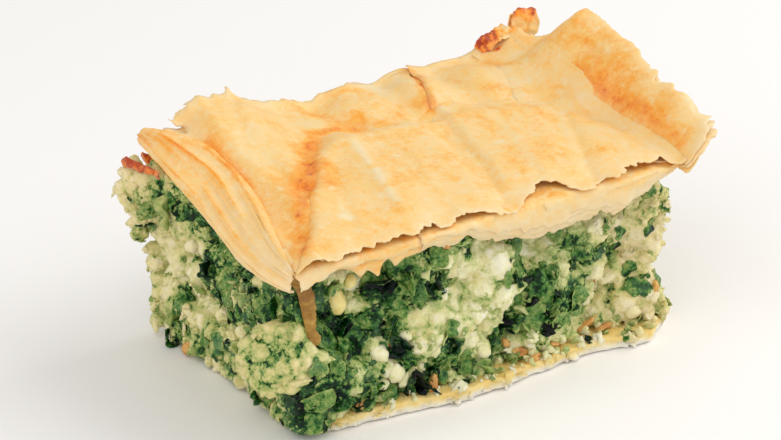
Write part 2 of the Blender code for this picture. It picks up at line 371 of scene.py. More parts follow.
def varied(f, size, amount, detail=5.0):  # noise either side of nothing
    return f.times(f.sum(f.noise(size, detail, 0.62), -0.5), amount)


# the crust's level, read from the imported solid

levelGrid = {"x": (-70.0, 72.0), "y": (-50.0, 46.0), "step": 1.0, "blurs": 2}


def around(grid):  # the 3 by 3 neighbours of every cell of a grid that is padded by one
    rows, columns = grid.shape[0] - 2, grid.shape[1] - 2
    return [grid[1 + a:1 + a + rows, 1 + b:1 + b + columns] for a in (-1, 0, 1) for b in (-1, 0, 1)]


def levelsOf(node, fromAbove):
    tree = treeOf(wholeCopy(node))
    xs = np.arange(*levelGrid["x"], levelGrid["step"])
    ys = np.arange(*levelGrid["y"], levelGrid["step"])
    heights = np.full((len(ys), len(xs)), np.nan)
    start, way = (120.0, Vector((0, 0, -1))) if fromAbove else (20.0, Vector((0, 0, 1)))
    for row, y in enumerate(ys):
        for column, x in enumerate(xs):
            hit = tree.ray_cast(Vector((x, y, start)), way)[0]
            if hit:
                heights[row, column] = hit.z
    while np.isnan(heights).any():  # past its edges the level runs on
        near = np.stack(around(np.pad(heights, 1, constant_values=np.nan)))
        known = ~np.isnan(near)
        mean = np.where(known, near, 0).sum(0) / np.maximum(known.sum(0), 1)
        heights = np.where(np.isnan(heights) & known.any(0), mean, heights)
    for _ in range(levelGrid["blurs"]):
        heights = sum(around(np.pad(heights, 1, mode="edge"))) / 9
    return heights


def levelAt(heights, spots):
    column = np.clip((spots[:, 0] - levelGrid["x"][0]) / levelGrid["step"], 0, heights.shape[1] - 1.001)
    row = np.clip((spots[:, 1] - levelGrid["y"][0]) / levelGrid["step"], 0, heights.shape[0] - 1.001)
    c, r = column.astype(int), row.astype(int)
    s, t = column - c, row - r
    return (heights[r, c] * (1 - s) * (1 - t) + heights[r, c + 1] * s * (1 - t)
            + heights[r + 1, c] * (1 - s) * t + heights[r + 1, c + 1] * s * t)


crustTop = levelsOf("top_pastry", True)
crustUnder = levelsOf("top_pastry", False)
print("crust level read")


# how the oven coloured the crust, with painted highlights among the paled strokes: strokes of amount, width and
# course

browned = [
    (0.26, 3.0, [(-15, 19), (-24, 9), (-28, 2), (-36, -8), (-44, -19), (-48, -25), (-54, -36)]),
    (0.08, 6.0, [(-24, 14), (-33, -2), (-44, -16), (-52, -30)]),
    (0.18, 3.4, [(-28, 0), (-26, -5), (-30, -10)]),
    (0.22, 2.2, [(-16, 20), (-10, 20), (-2, 17), (4, 13)]),
    (0.22, 3.2, [(-13, 37), (-9, 30)]),
    (0.22, 3.2, [(-3, 38), (5, 35)]),
    (0.14, 3.0, [(-8, 25), (-2, 22)]),
    (0.20, 2.6, [(7, 15), (13, 23), (15, 19), (18, 16)]),
    (0.30, 2.4, [(24, 36), (20, 24), (17, 16)]),
    (0.16, 2.6, [(37, 16), (40, 13)]),
    (0.24, 2.4, [(46, 30), (48, 25)]),
    (0.08, 6.0, [(20, 3), (30, -6)]),
    (0.30, 1.8, [(-45, 23), (-45, 12), (-47, 0), (-51, -11), (-55, -23), (-58, -33)]),
]
paleAndHighlights = [
    # these six short strong paled strokes are painted highlights: glossy white spots and a pale streak
    (0.46, 1.1, [(-13, 6), (-16, -4), (-17, -7)]),
    (0.50, 1.3, [(-18, -12), (-20, -18)]),
    (0.40, 1.1, [(-21, -22), (-22, -27)]),
    (0.70, 1.2, [(-36.5, -25.5), (-35.5, -26.5)]),
    (0.50, 0.8, [(19.5, -11), (20.5, -11)]),
    (0.50, 0.7, [(-7, -5), (-7.5, -4.5)]),
    (0.20, 1.0, [(50, 27), (52, 27)]),
    (0.16, 1.4, [(43, 3), (43, -5), (39, -14), (35, -22), (31, -31)]),
    (0.12, 1.0, [(19, 14), (18, 6), (15.4, -4), (12.4, -18), (9.4, -28)]),
    (0.12, 1.2, [(28, 12), (27, 0), (23, -14), (20, -28)]),
    (0.10, 1.0, [(48, 2), (50, -10), (48, -24), (44, -34)]),
    (0.16, 4.0, [(-20, 36), (-17, 29), (-14, 25)]),
    (0.10, 5.0, [(-40, 14), (-34, 6), (-30, 18)]),
    (0.12, 4.0, [(-20, -38), (-15, -30), (-14, -26)]),
    (0.10, 5.0, [(44, -20), (48, -32)]),
    (0.22, 2.4, [(66, -30), (66, -38), (60, -42)]),
    (0.12, 3.0, [(52, 10), (47, 14), (40, 20)]),
    (0.12, 3.0, [(10, 35), (17, 33)]),
]
oven = {"level": 0.49, "patches": 0.16, "patchSize": 15, "mottle": 0.05, "mottleSize": 4}


def strokes(spots, lines):  # amounts that fade away from bent lines
    return [amount * bell(lineDistance(spots, line)[0], width) for amount, width, line in lines]


def toastAndShadingAt(spots):
    toast = (oven["level"] + oven["patches"] * layeredWaves(spots, oven["patchSize"], 4, 301)
             + oven["mottle"] * waves(spots, oven["mottleSize"], 305))
    for stroke in strokes(spots, browned):
        toast += stroke
    for stroke in strokes(spots, paleAndHighlights):
        toast -= stroke
    return toast


edgeSides = {  # which edges of a leaf stand free instead of lying against the leaf below
    "all": (np.array([0.0, 0.0]), 1.0), "front": (np.array([0.0, -0.14]), -3.8),
    "back": (np.array([0.0, 0.3]), -10.0), "right": (np.array([0.3, 0.0]), -17.4),
    "gutter": (np.array([-0.326, 0.232]), -8.2), "crease": (np.array([0.5, 0.0]), -26.5)}


plainSheet = {  # what a leaf of pastry has unless its own dictionary says otherwise
    "step": 0.6, "spacing": 0.95, "wide": 0, "share": 1.0, "lift": 0.0, "thick": 0.2, "free": ["all"], "calm": 0.0,
    "tear": 0.5, "tearSize": 5, "teeth": 0.5, "folds": [], "creases": [], "ripple": 0.25, "beneath": [],
    "edgeLift": 0.0, "edgeWidth": 2.2, "sinkEdge": 0.0, "sinkWidth": 1.3,
    "toast": 0.0, "browned": [], "edgePale": 0.12, "edgePaleWidth": 2.4}
tooBrown = {"from": 0.68, "room": 0.14}  # past this the toast and painted shading level off


def calmAt(spots, sheet):  # where a leaf runs on into its neighbour without a torn edge
    return np.max([sheet["calm"] * smooth(spots[:, :2] @ far + reach)
                   for far, reach in (edgeSides["crease"], edgeSides["gutter"])], axis=0)


def tornOutline(sheet):
    seed = sheet["seed"]
    outline = curveThrough(sheet["outline"], sheet["step"], closed=True, places=2)
    flat = np.column_stack([outline[:, :2], np.full(len(outline), seed * 7.0)])
    run = np.roll(outline[:, :2], -1, axis=0) - np.roll(outline[:, :2], 1, axis=0)
    outward = np.column_stack([run[:, 1], -run[:, 0]]) / (np.linalg.norm(run, axis=1)[:, None] + 1e-9)
    tear = layeredWaves(flat, sheet["tearSize"], 3, seed + 11) * 1.5
    tear = tear + sheet["teeth"] * np.minimum(layeredWaves(flat, 2.4, 3, seed + 12) + 0.05, 0.2)
    return outline[:, :2] + outward * (tear * sheet["tear"] * (1 - calmAt(outline, sheet)))[:, None]


def sheetPlan(sheet, outline, ring):  # the outline filled with points and cut into triangles
    low, high = outline.min(0), outline.max(0)
    spacing, wide = sheet["spacing"], sheet["wide"]
    rng = np.random.default_rng(sheet["seed"])
    xs, ys = np.meshgrid(np.arange(low[0], high[0], spacing), np.arange(low[1], high[1], spacing * 0.87))
    xs = xs + (np.arange(xs.shape[0]) % 2)[:, None] * spacing / 2
    spots = np.column_stack([xs.ravel(), ys.ravel()]) + rng.uniform(-0.16, 0.16, (xs.size, 2)) * spacing
    spots = spots[insideOutline(spots, outline)]
    away = lineDistance(spots, ring)[0]
    keep = away > spacing * 0.55
    if wide:  # hidden parts need few points
        keep &= (away < wide) | (rng.random(len(spots)) < 0.12)
    every = [Vector(p) for p in np.vstack([outline, spots[keep]])]
    plan, _, faces, _, _, _ = geometry.delaunay_2d_cdt(every, [], [list(range(len(outline)))], 1, 1e-5)
    return np.array([tuple(p) for p in plan]), faces


def sheetHeight(sheet, plan, away):
    seed, share = sheet["seed"], sheet["share"]
    height = levelAt(crustTop, plan) * share + levelAt(crustUnder, plan) * (1 - share) + sheet["lift"]
    deep = np.column_stack([plan, np.full(len(plan), seed * 5.0)])
    for fold in strokes(plan, sheet["folds"]):  # rounded ridges and hollows
        height += fold
    for amount, length, width, turn in sheet["creases"]:  # long fine waves in one direction
        a = math.radians(turn)
        turned = np.column_stack([(plan @ (math.cos(a), math.sin(a))) / length,
                                  (plan @ (-math.sin(a), math.cos(a))) / width, np.full(len(plan), seed + amount)])
        ridge = waves(turned, 1.0, seed + 31)
        height += amount * (1 - 2.2 * np.abs(ridge)) * smooth(away / 1.5)
    height += sheet["ripple"] * layeredWaves(deep, 8, 3, seed + 41)
    for over, drop in sheet["beneath"]:  # it dips under the leaves laid over it
        within = insideOutline(plan, np.array(over, float))
        inward = lineDistance(plan, list(over) + [over[0]])[0] * np.where(within, 1, -1)
        height -= drop * smooth((inward - 0.6) / 2.4)
    edgeLift = sheet["edgeLift"] * (0.4 + 1.6 * np.clip(waves(deep, 13, seed + 51) + 0.4, 0, 1))
    free = np.max([smooth(far @ plan.T + reach) for far, reach in map(edgeSides.get, sheet["free"])], axis=0)
    height += edgeLift * np.exp(-away / sheet["edgeWidth"]) * free
    height -= sheet["sinkEdge"] * np.exp(-away / sheet["sinkWidth"]) * (1 - free)
    return height


def sheetToastAndShading(sheet, plan, away, plainEdge):
    toast = toastAndShadingAt(np.column_stack([plan, np.zeros(len(plan))])) + sheet["toast"]
    for stroke in strokes(plan, sheet["browned"]):
        toast += stroke
    toast -= sheet["edgePale"] * np.exp(-away / sheet["edgePaleWidth"]) * plainEdge
    over = (toast - tooBrown["from"]) / tooBrown["room"]
    return np.where(over > 0, tooBrown["from"] + tooBrown["room"] * np.tanh(over), toast)


def makeSheet(name, sheet):
    # a leaf of pastry cut to a torn outline and laid along the crust's level
    sheet = {**plainSheet, **sheet}
    outline = tornOutline(sheet)
    ring = np.vstack([outline, outline[:1]])
    plan, faces = sheetPlan(sheet, outline, ring)
    away, plainEdge = lineDistance(plan, ring)[0], 1 - calmAt(plan, sheet)
    points = np.column_stack([plan, sheetHeight(sheet, plan, away)])
    toast = sheetToastAndShading(sheet, plan, away, plainEdge)
    made = meshBuilt(name, points, faces, toast=toast, edge=np.exp(-away / 1.5) * plainEdge)
    return thickened(made, sheet["thick"], -1.0)


# leaves below the top ones, seen at their edges

underLeaves = {"count": 5, "lowest": 0.06, "highest": 0.58, "reach": 0.8, "thick": 0.42}
crustReach = [(-55, -35), (-40, -35.6), (-20, -35.4), (0, -35.6), (12, -33), (18, -31), (28, -35), (42, -34.6),
              (53, -37), (55, -30), (57, -15), (57, 5), (57, 20), (58, 35), (48, 37), (30, 36.5), (10, 37),
              (-10, 36.5), (-28, 37), (-44, 36.5), (-52, 34), (-54, 20), (-55, 5), (-57, -12), (-58, -28)]


def makeUnderLeaf(number):
    rng = np.random.default_rng(500 + number)
    share = number / (underLeaves["count"] - 1)
    outline = [(x + rng.uniform(-1, 1) * underLeaves["reach"], y + rng.uniform(-1, 1) * underLeaves["reach"])
               for x, y in crustReach]
    level = underLeaves["lowest"] + (underLeaves["highest"] - underLeaves["lowest"]) * share
    return makeSheet(f"underLeaf{number}", {
        "outline": outline, "share": level, "seed": 520 + number, "tear": 1.0, "tearSize": 6, "wide": 6,
        "ripple": 0.22, "edgeLift": 0.5 * (share - 0.4), "thick": underLeaves["thick"],
        "toast": -0.16 + 0.1 * rng.random(), "edgePale": 0.06})


# the leaves on top

leftLeaf = {
    "outline": [(-46, 33.5), (-49.5, 36.2), (-47.2, 37.0), (-46, 38.8), (-43.6, 38.0), (-42.2, 39.4), (-38, 38.3),
                (-35, 39), (-32, 38.2), (-30.4, 40), (-29, 39.9), (-27.4, 38.2), (-22, 38.8), (-18, 38.2), (-9, 38),
                (0, 38.3), (7, 38), (12, 37), (13.6, 30), (12.6, 20), (8, 9), (-8, 4), (-22, -8), (-33, -22),
                (-44, -33), (-52, -39), (-57.5, -38), (-56, -27), (-54, -12), (-51, 2), (-51, 18), (-50.5, 27)],
    "lift": -0.30, "seed": 11, "tear": 0.8, "tearSize": 3, "teeth": 2.4, "ripple": 0.30, "edgeLift": 1.5,
    "free": ["back"], "thick": 0.22,
    "creases": [(0.20, 26, 7, 62), (0.10, 12, 2.6, 40), (0.06, 6, 1.8, 80)], "edgePale": 0.2, "step": 0.5,
    "folds": [(0.3, 1.8, [(-20, 37), (-24, 20), (-34, 2), (-44, -14)]),
              (-0.25, 1.2, [(-30, 37), (-36, 22), (-41, 12)]),
              (0.25, 1.2, [(-12, 36), (-13, 26), (-9, 21)]), (1.6, 2.0, [(-45, 39), (-43, 37)]),
              (1.0, 1.4, [(-40, 39.4), (-39, 37)]), (1.8, 1.2, [(-30, 40.4), (-30, 38)]),
              (-0.6, 1.0, [(-36, 39), (-36, 37)])],
}
backLeaf = {
    "outline": [(3, 9), (20, 5), (38, 0), (52, -2), (57, 6), (57.5, 22), (57.5, 37), (48, 37.6), (38, 38.2),
                (28, 37.8), (17, 38.2), (10, 38.1), (10.5, 28), (8.5, 20), (6.5, 14)],
    "lift": -0.35, "seed": 12, "tear": 0.3, "ripple": 0.22, "edgeLift": 0.5, "free": ["back"],
    "creases": [(0.14, 15, 5, 80)],
}
puffLeft = {
    "outline": [(6.5, 37.8), (9, 39), (12, 38.4), (15, 39), (24, 38.6), (21, 27), (18.3, 17), (12, 14.2), (6.8, 13.4),
                (8.8, 20), (10.2, 27), (9, 33)],
    "lift": -0.05, "seed": 13, "toast": -0.08, "tear": 0.3, "ripple": 0.22, "edgeLift": 0.9, "edgeWidth": 1.6,
    "edgePale": 0.10, "free": ["back"], "sinkEdge": 0.55, "sinkWidth": 1.0, "step": 0.5,
    "folds": [(0.5, 2.6, [(12, 36), (14, 29)]), (-0.3, 1.8, [(10, 22), (16, 20)]), (0.3, 1.0, [(17, 37), (17, 28)])],
    "creases": [(0.12, 14, 4, 75), (0.06, 6, 1.8, 95)],
}
puffRight = {
    "outline": [(24.2, 38.2), (27, 39.2), (30, 38.4), (35, 39), (41, 38.9), (46, 38.2), (47.5, 31), (45, 21),
                (41.5, 13), (36, 9.5), (29, 13), (22, 15.2), (16.6, 15), (19.4, 22), (22.3, 30)],
    "lift": 0.1, "seed": 14, "toast": -0.03, "tear": 0.28, "ripple": 0.22, "edgeLift": 1.0, "edgeWidth": 1.7,
    "edgePale": 0.08, "free": ["back"], "sinkEdge": 0.6, "sinkWidth": 1.0, "step": 0.5,
    "folds": [(0.6, 1.8, [(23.5, 36), (20.5, 24), (18.5, 17)]), (-0.4, 1.3, [(27, 37), (35, 22), (40, 16)]),
              (0.3, 1.5, [(33, 37), (38, 24)])],
    "creases": [(0.14, 16, 4.5, 100), (0.06, 6, 1.8, 80)],
}
rightLeaf = {
    "outline": [(45, 38), (48, 39), (51, 37.6), (56, 37.8), (57, 24), (57, 12), (57, 4), (56.4, -8), (52, -5),
                (46, 2), (39, 8), (40.5, 14), (43.5, 22), (45.5, 30)],
    "lift": 0.0, "seed": 15, "tear": 0.3, "calm": 0.9, "ripple": 0.25, "edgeLift": 0.8, "edgeWidth": 1.6,
    "free": ["back"],
    "sinkEdge": 0.3, "folds": [(0.4, 1.6, [(44, 36), (46, 22), (43, 10)]),
                               (-0.3, 1.3, [(51, 36), (51, 18), (50, 4)])],
    "creases": [(0.16, 18, 5, 95), (0.06, 6, 1.8, 80)],
}
frontLeaf = {
    "outline": [(-58.5, -39.5), (-54, -40.5), (-49, -41.2), (-45, -39.6), (-40, -40), (-35, -40.2), (-30, -40.6),
                (-25, -40), (-22, -39.4), (-18.6, -38.4), (-17.6, -40), (-10, -38.4), (-6, -39), (-3, -39.4),
                (0, -41), (3, -40), (6, -39.2), (9, -37), (12, -36.8), (14, -34.8), (18, -34), (20.4, -35.2),
                (22, -38.4), (24, -40.4), (26, -41), (28.4, -40), (30.5, -39), (33, -41), (36, -41), (38.4, -38.4),
                (40.6, -37), (42, -38.6), (46, -38), (50, -39.2), (53, -41.2), (55.4, -41.8), (55.8, -35),
                (56.2, -27), (56.2, -19), (55.8, -11), (55, -5), (51, 2.6), (43, 7.4), (35, 10.4), (29, 14.6),
                (19, 15), (14, 12.6), (9, 10), (4, 11.5), (-3, 15.6), (-10, 18), (-16.5, 17), (-22.5, 10.4),
                (-28, 3.4), (-32.5, -6.4), (-38, -12), (-43, -20), (-47.6, -26.4), (-52.4, -33.4)],
    "lift": 0.2, "seed": 16, "tear": 0.85, "tearSize": 3.4, "teeth": 2.4, "ripple": 0.28, "edgeLift": 0.35,
    "thick": 0.2, "free": ["front"], "sinkEdge": 0.72, "spacing": 0.85, "edgePale": 0.20, "step": 0.4, "calm": 0.85,
    "folds": [(-0.35, 0.8, [(17, 14), (16, 7), (13, -3), (10, -17), (7, -27), (4, -36)]),
              (0.3, 1.4, [(19, 14), (18, 6), (15.4, -4), (12.4, -18), (9.4, -28)]),
              (-0.2, 0.7, [(12, 13), (12, 5), (10, -5), (5, -19)]),
              (-0.3, 0.8, [(44, 4), (45, -4), (41, -14), (36, -24), (32, -31), (30, -37)]),
              (0.3, 1.6, [(41.6, 4), (42.4, -4), (38.4, -14), (33.4, -24), (29.4, -31)]),
              (0.3, 1.4, [(-12, 8), (-16, -4), (-20, -18), (-22, -28)]),
              (0.35, 2.4, [(-53, -37), (-46, -27), (-38, -15), (-31, -6), (-24, 3), (-17, 11), (-11, 15)]),
              (-0.25, 1.4, [(-24, -2), (-34, -24), (-40, -38)]),
              (0.25, 1.4, [(24, 10), (27, -6), (22, -22), (20, -33)]),
              (0.25, 1.2, [(-4, 12), (-2, -4), (-8, -22), (-10, -36)])],
    "creases": [(0.10, 26, 5, 68), (0.06, 10, 2.2, 110), (0.05, 5, 1.6, 60)],
    "browned": [(-0.10, 1.6, [(52.6, 0), (52.8, -12), (53.2, -24), (53.6, -38)])],
}
leftLeaf["beneath"] = [(frontLeaf["outline"], 0.5), (puffLeft["outline"], 0.3)]
backLeaf["beneath"] = [(frontLeaf["outline"], 0.5), (puffRight["outline"], 0.3)]
puffLeft["beneath"] = [(puffRight["outline"], 0.5), (frontLeaf["outline"], 0.5)]
puffRight["beneath"] = [(frontLeaf["outline"], 0.5), (rightLeaf["outline"], 0.5)]
rightLeaf["beneath"] = [(frontLeaf["outline"], 0.5)]

flapReach = [(54.6, -42.6), (59, -42.8), (62, -41.8), (64.6, -40.6), (64, -39), (67, -37), (66, -34.6), (64.6, -33),
             (66, -30.4), (64.2, -26.6), (65.2, -22.6), (63.8, -18.6), (65.6, -16), (65.4, -11), (67, -6), (67.2, 0),
             (67.6, 9), (67.6, 16), (66, 18.8), (63, 22), (61, 27), (59.4, 32), (58.6, 37.4), (56, 37.6), (54.6, 28),
             (53.4, 18), (53, 8), (53, -2), (54, -10), (54.4, -19), (54.8, -27), (55, -36)]
flapLeaf = {
    "outline": flapReach, "lift": 0.2, "seed": 21, "tear": 0.45, "tearSize": 2.6, "ripple": 0.35,
    "edgeLift": 0.3, "spacing": 0.8, "edgePale": 0.16, "edgePaleWidth": 1.8, "toast": 0.07, "thick": 0.2,
    "teeth": 2.2,
    "free": ["right"], "sinkEdge": 0.5, "step": 0.5, "creases": [(0.14, 20, 4, 96), (0.06, 6, 1.8, 80)],
    "beneath": [(frontLeaf["outline"], 0.7), (rightLeaf["outline"], 0.5)],
    "browned": [(0.24, 1.8, [(55.6, 4), (55.8, -8), (56.4, -21), (56.8, -37)]),
                (0.10, 3.0, [(57, 4), (57.4, -8), (58, -21), (58.4, -37)]), (0.05, 6, [(59, 14), (60, 4), (61, -10)]),
                (-0.12, 2.6, [(65, -30), (63.6, -38), (60, -42)])],
    "folds": [(-0.25, 1.4, [(57, 16), (59, 6), (58, -8)]), (0.25, 1.2, [(62, 18), (62, 2), (61, -14)]),
              (0.9, 1.6, [(65, 17), (67, 17)])],
}
flapBacks = [
    {"share": 0.62, "seed": 22, "shift": (0.5, -0.8), "toast": -0.12},
    {"share": 0.30, "seed": 23, "shift": (-0.3, 0.7), "toast": -0.05},
    {"share": 0.04, "seed": 24, "shift": (-0.9, -0.3), "toast": -0.12},
]


def makeFlapBack(number, back):
    outline = [(x + back["shift"][0] * (x > 56), y + back["shift"][1]) for x, y in flapReach]
    return makeSheet(f"flapBack{number}", {
        "outline": outline, "share": back["share"], "seed": back["seed"], "tear": 0.8, "tearSize": 3.4,
        "ripple": 0.3, "spacing": 1.0, "toast": back["toast"], "thick": 0.4, "edgePale": 0.06})


# strips that hang, roll or curl: smooth through rails that run along them

def betweenRails(rails, across):
    last = len(rails) - 1
    t = np.linspace(0, last, across)
    i = np.minimum(t.astype(int), last - 1)
    s = (t - i)[:, None, None]
    a, b, c, d = (rails[np.clip(i + k, 0, last)] for k in (-1, 0, 1, 2))
    return 0.5 * (2 * b + (c - a) * s + (2 * a - 5 * b + 4 * c - d) * s ** 2 + (3 * b - a - 3 * c + d) * s ** 3)


def unitRows(rows):
    return rows / (np.linalg.norm(rows, axis=-1, keepdims=True) + 1e-9)


plainRibbon = {"tear": 0.4, "tearSize": 4, "ripple": 0.3, "rippleSize": 6, "grooves": [], "grooveShade": 0.0,
               "toastAlong": [0], "toastNoise": 0.12, "thick": 0.4}


def makeRibbon(name, ribbon):
    ribbon = {**plainRibbon, **ribbon}
    seed, along, across = ribbon["seed"], ribbon["along"], ribbon["across"]
    rows = betweenRails(np.array([curveThrough(rail, count=along) for rail in ribbon["rails"]]), across)
    v, u = np.meshgrid(np.linspace(0, 1, across), np.linspace(0, 1, along), indexing="ij")
    tear = ribbon["tear"] * layeredWaves(rows[-1], ribbon["tearSize"], 3, seed) * 1.6
    rows += (v ** 6)[..., None] * (unitRows(rows[-1] - rows[-2]) * tear[:, None])[None]
    for end, inner, weight in ((0, 1, (1 - u) ** 12), (-1, -2, u ** 12)):
        push = ribbon["tear"] * layeredWaves(rows[:, end], 3, 2, seed + 5) * 1.6
        rows += weight[..., None] * (unitRows(rows[:, end] - rows[:, inner]) * push[:, None])[:, None]
    outward = unitRows(np.cross(np.gradient(rows, axis=1), np.gradient(rows, axis=0)))
    flat = rows.reshape(-1, 3)
    height = ribbon["ripple"] * layeredWaves(flat, ribbon["rippleSize"], 3, seed + 9).reshape(v.shape)
    grooveShade = np.zeros(v.shape)
    for amount, place, width, begin, end in ribbon["grooves"]:
        wander = 0.05 * waves(np.column_stack([u.ravel() * 4, np.full(u.size, seed), v.ravel() * 0]), 1, seed)
        window = smooth((u - begin) / 0.08) * smooth((end - u) / 0.08)
        groove = bell(v - place - wander.reshape(v.shape), width) * window
        height += amount * groove
        # grooves darker and ridges lighter in colour: painted shade and painted light along them
        grooveShade += ribbon["grooveShade"] * -amount * groove
    rows += outward * height[..., None]
    sideOn, endOn = (np.interp(part, np.linspace(0, 1, len(ribbon[key])), ribbon[key])
                     for part, key in ((v, "toast"), (u, "toastAlong")))
    toast = sideOn + endOn
    toast += grooveShade + ribbon["toastNoise"] * layeredWaves(flat, 5, 3, seed + 13).reshape(v.shape)
    edge = np.maximum.reduce([v ** 10, u ** 20, (1 - u) ** 20])
    made = meshBuilt(name, rows.reshape(-1, 3), gridFaces(*v.shape), toast=toast.ravel(), edge=edge.ravel())
    return thickened(made, ribbon["thick"])


# the rolled hem along the left side

hem = {
    "gutter": [(-54.6, 37.4, 54.6), (-52.4, 31, 56.2), (-49.4, 26, 56), (-46.6, 20, 54.8), (-46, 6, 52),
               (-48, -6, 50.4), (-52.6, -20, 49.4), (-55.4, -30, 47.4), (-57.8, -37.6, 46.4)],
    "outer": [(-56.6, 37.8, 54), (-57.4, 32, 54), (-57.8, 25, 53), (-58.2, 15, 50.8), (-58.4, 6, 48.6),
              (-59.2, -5, 46.8), (-60.2, -15, 44.4), (-60.4, -27, 43.2), (-59.6, -38.6, 43.6)],
    "rise": 1.7, "roll": 1.1,
}
leftLeaf["beneath"].append(([p[:2] for p in hem["gutter"]] + [p[:2] for p in reversed(hem["outer"])], 1.6))


def makeHem():
    gutter, outer = np.array(hem["gutter"], float), np.array(hem["outer"], float)
    rise, roll = hem["rise"], hem["roll"]
    up, left = np.array([0, 0, 1.0]), np.array([-1.0, 0, 0])
    rails = [gutter - up * 1.0 - left * 0.8, gutter + left * 0.4 + up * 0.7,
             gutter * 0.78 + outer * 0.22 + up * rise, gutter * 0.5 + outer * 0.5 + up * rise * 1.05,
             gutter * 0.22 + outer * 0.78 + up * rise * 0.8, outer + up * roll * 0.6,
             outer + left * roll * 0.4 - up * 0.7,
             outer - up * 2.3 - left * 0.6, outer - up * 2.6 - left * 3.0, outer - up * 1.2 - left * 4.4]
    for k, rail in enumerate(rails[5:]):  # its near end is pressed flat
        rail[-1] = outer[-1] - up * (0.5 + 0.12 * k) - left * 0.25 * k
        rail[-2] = rail[-2] * 0.6 + (outer[-2] - up * (0.5 + 0.3 * k) - left * 0.4 * k) * 0.4
    # its grooves are painted darker and its ridges lighter: painted shade and painted light along the rolls
    return makeRibbon("hemRoll", {
        "rails": rails, "along": 170, "across": 124, "seed": 31, "thick": 0.5, "tear": 0.3, "ripple": 0.35,
        "rippleSize": 7, "toast": [0.70, 0.58, 0.46, 0.42, 0.38, 0.34, 0.30, 0.28, 0.3, 0.3],
        "toastAlong": [0.18, 0.14, 0.08, 0.0, -0.06, -0.14, -0.20],
        "grooves": [(-0.8, 0.34, 0.012, 0.05, 0.66), (-0.7, 0.47, 0.012, 0.36, 1.05), (0.45, 0.27, 0.030, 0.1, 0.95),
                    (-0.6, 0.56, 0.011, -0.1, 0.55), (0.40, 0.405, 0.022, 0.2, 1.1), (-0.6, 0.20, 0.011, 0.2, 0.95),
                    (-0.5, 0.42, 0.010, 0.0, 0.4), (-0.45, 0.62, 0.010, 0.3, 1.05), (-0.4, 0.24, 0.010, 0.45, 0.8),
                    (-0.4, 0.52, 0.010, 0.5, 0.9), (-0.4, 0.38, 0.009, 0.3, 0.8), (-0.4, 0.30, 0.009, 0.6, 1.1),
                    (-0.35, 0.66, 0.010, 0.0, 0.5)], "grooveShade": 0.34})


# leaves that hang out below the front edge. Their toast runs highest at the top, a painted shade under the top leaf's
# edge, and the tan ones are darker all over, partly painted shade

creamLow = [(-23, 43), (-20, 44), (-17, 43.6), (-12, 43), (-9, 44), (-6, 42), (0, 40.4), (5, 40), (9, 38.4),
            (14, 38.2), (18, 39), (23, 39.2), (28, 39.4), (31, 40), (36, 38.6), (39, 39.4), (42, 41.4), (46, 42.6),
            (50, 44), (55, 46.6), (60, 50)]
tanLow = [(-49, 45.4), (-44, 44.8), (-41.6, 43.2), (-39.6, 41.6), (-37.4, 42.2), (-35, 40.4), (-33.6, 43.4),
          (-31.8, 44.2), (-30, 41.8), (-28, 42.6), (-25, 43.4), (-21, 43.8), (-18, 44.4)]
tanStep = [(-57.6, 42.4), (-55, 43.2), (-52, 44.2), (-49.4, 45.0), (-46.4, 46.2), (-42, 45.4), (-37, 45.6),
           (-31, 44.8), (-26, 45.6), (-20, 46), (-14, 46.6)]
creamStep = [(13, 45), (18, 44.4), (24, 43.4), (30, 45), (34, 46), (38, 46.4), (43, 47.2), (48, 48)]
apronFrom = {"y": -34.0, "highest": 48.6}


def hanging(low, top, outward, tuck):
    # rails from under the top leaf out over the filling and down to the low edge
    low = np.array(low, float)
    x, z = low[:, 0], low[:, 1]
    level = levelAt(crustTop, np.column_stack([x, np.full(len(x), apronFrom["y"])])) - top
    level = np.minimum(level, apronFrom["highest"] - top)
    stops = ((-27.0, level + 0.4), (-33.0, level + 0.2), (-37.6 - outward, level),
             (-38.8 - outward, level * 0.8 + z * 0.2), (-39.1 - outward, level * 0.4 + z * 0.6),
             (-39.1 - outward + tuck, z))
    return [np.column_stack([x, np.full(len(x), y), height]) for y, height in stops]


def raised(line, by, sway, seed):  # the same low edge a little higher, wandering on its own
    spots = np.array(line, float)
    wander = waves(np.column_stack([spots[:, 0], np.zeros(len(spots)), np.zeros(len(spots))]), 7, seed)
    return [(x, z + by + sway * w) for (x, z), w in zip(spots, wander)]


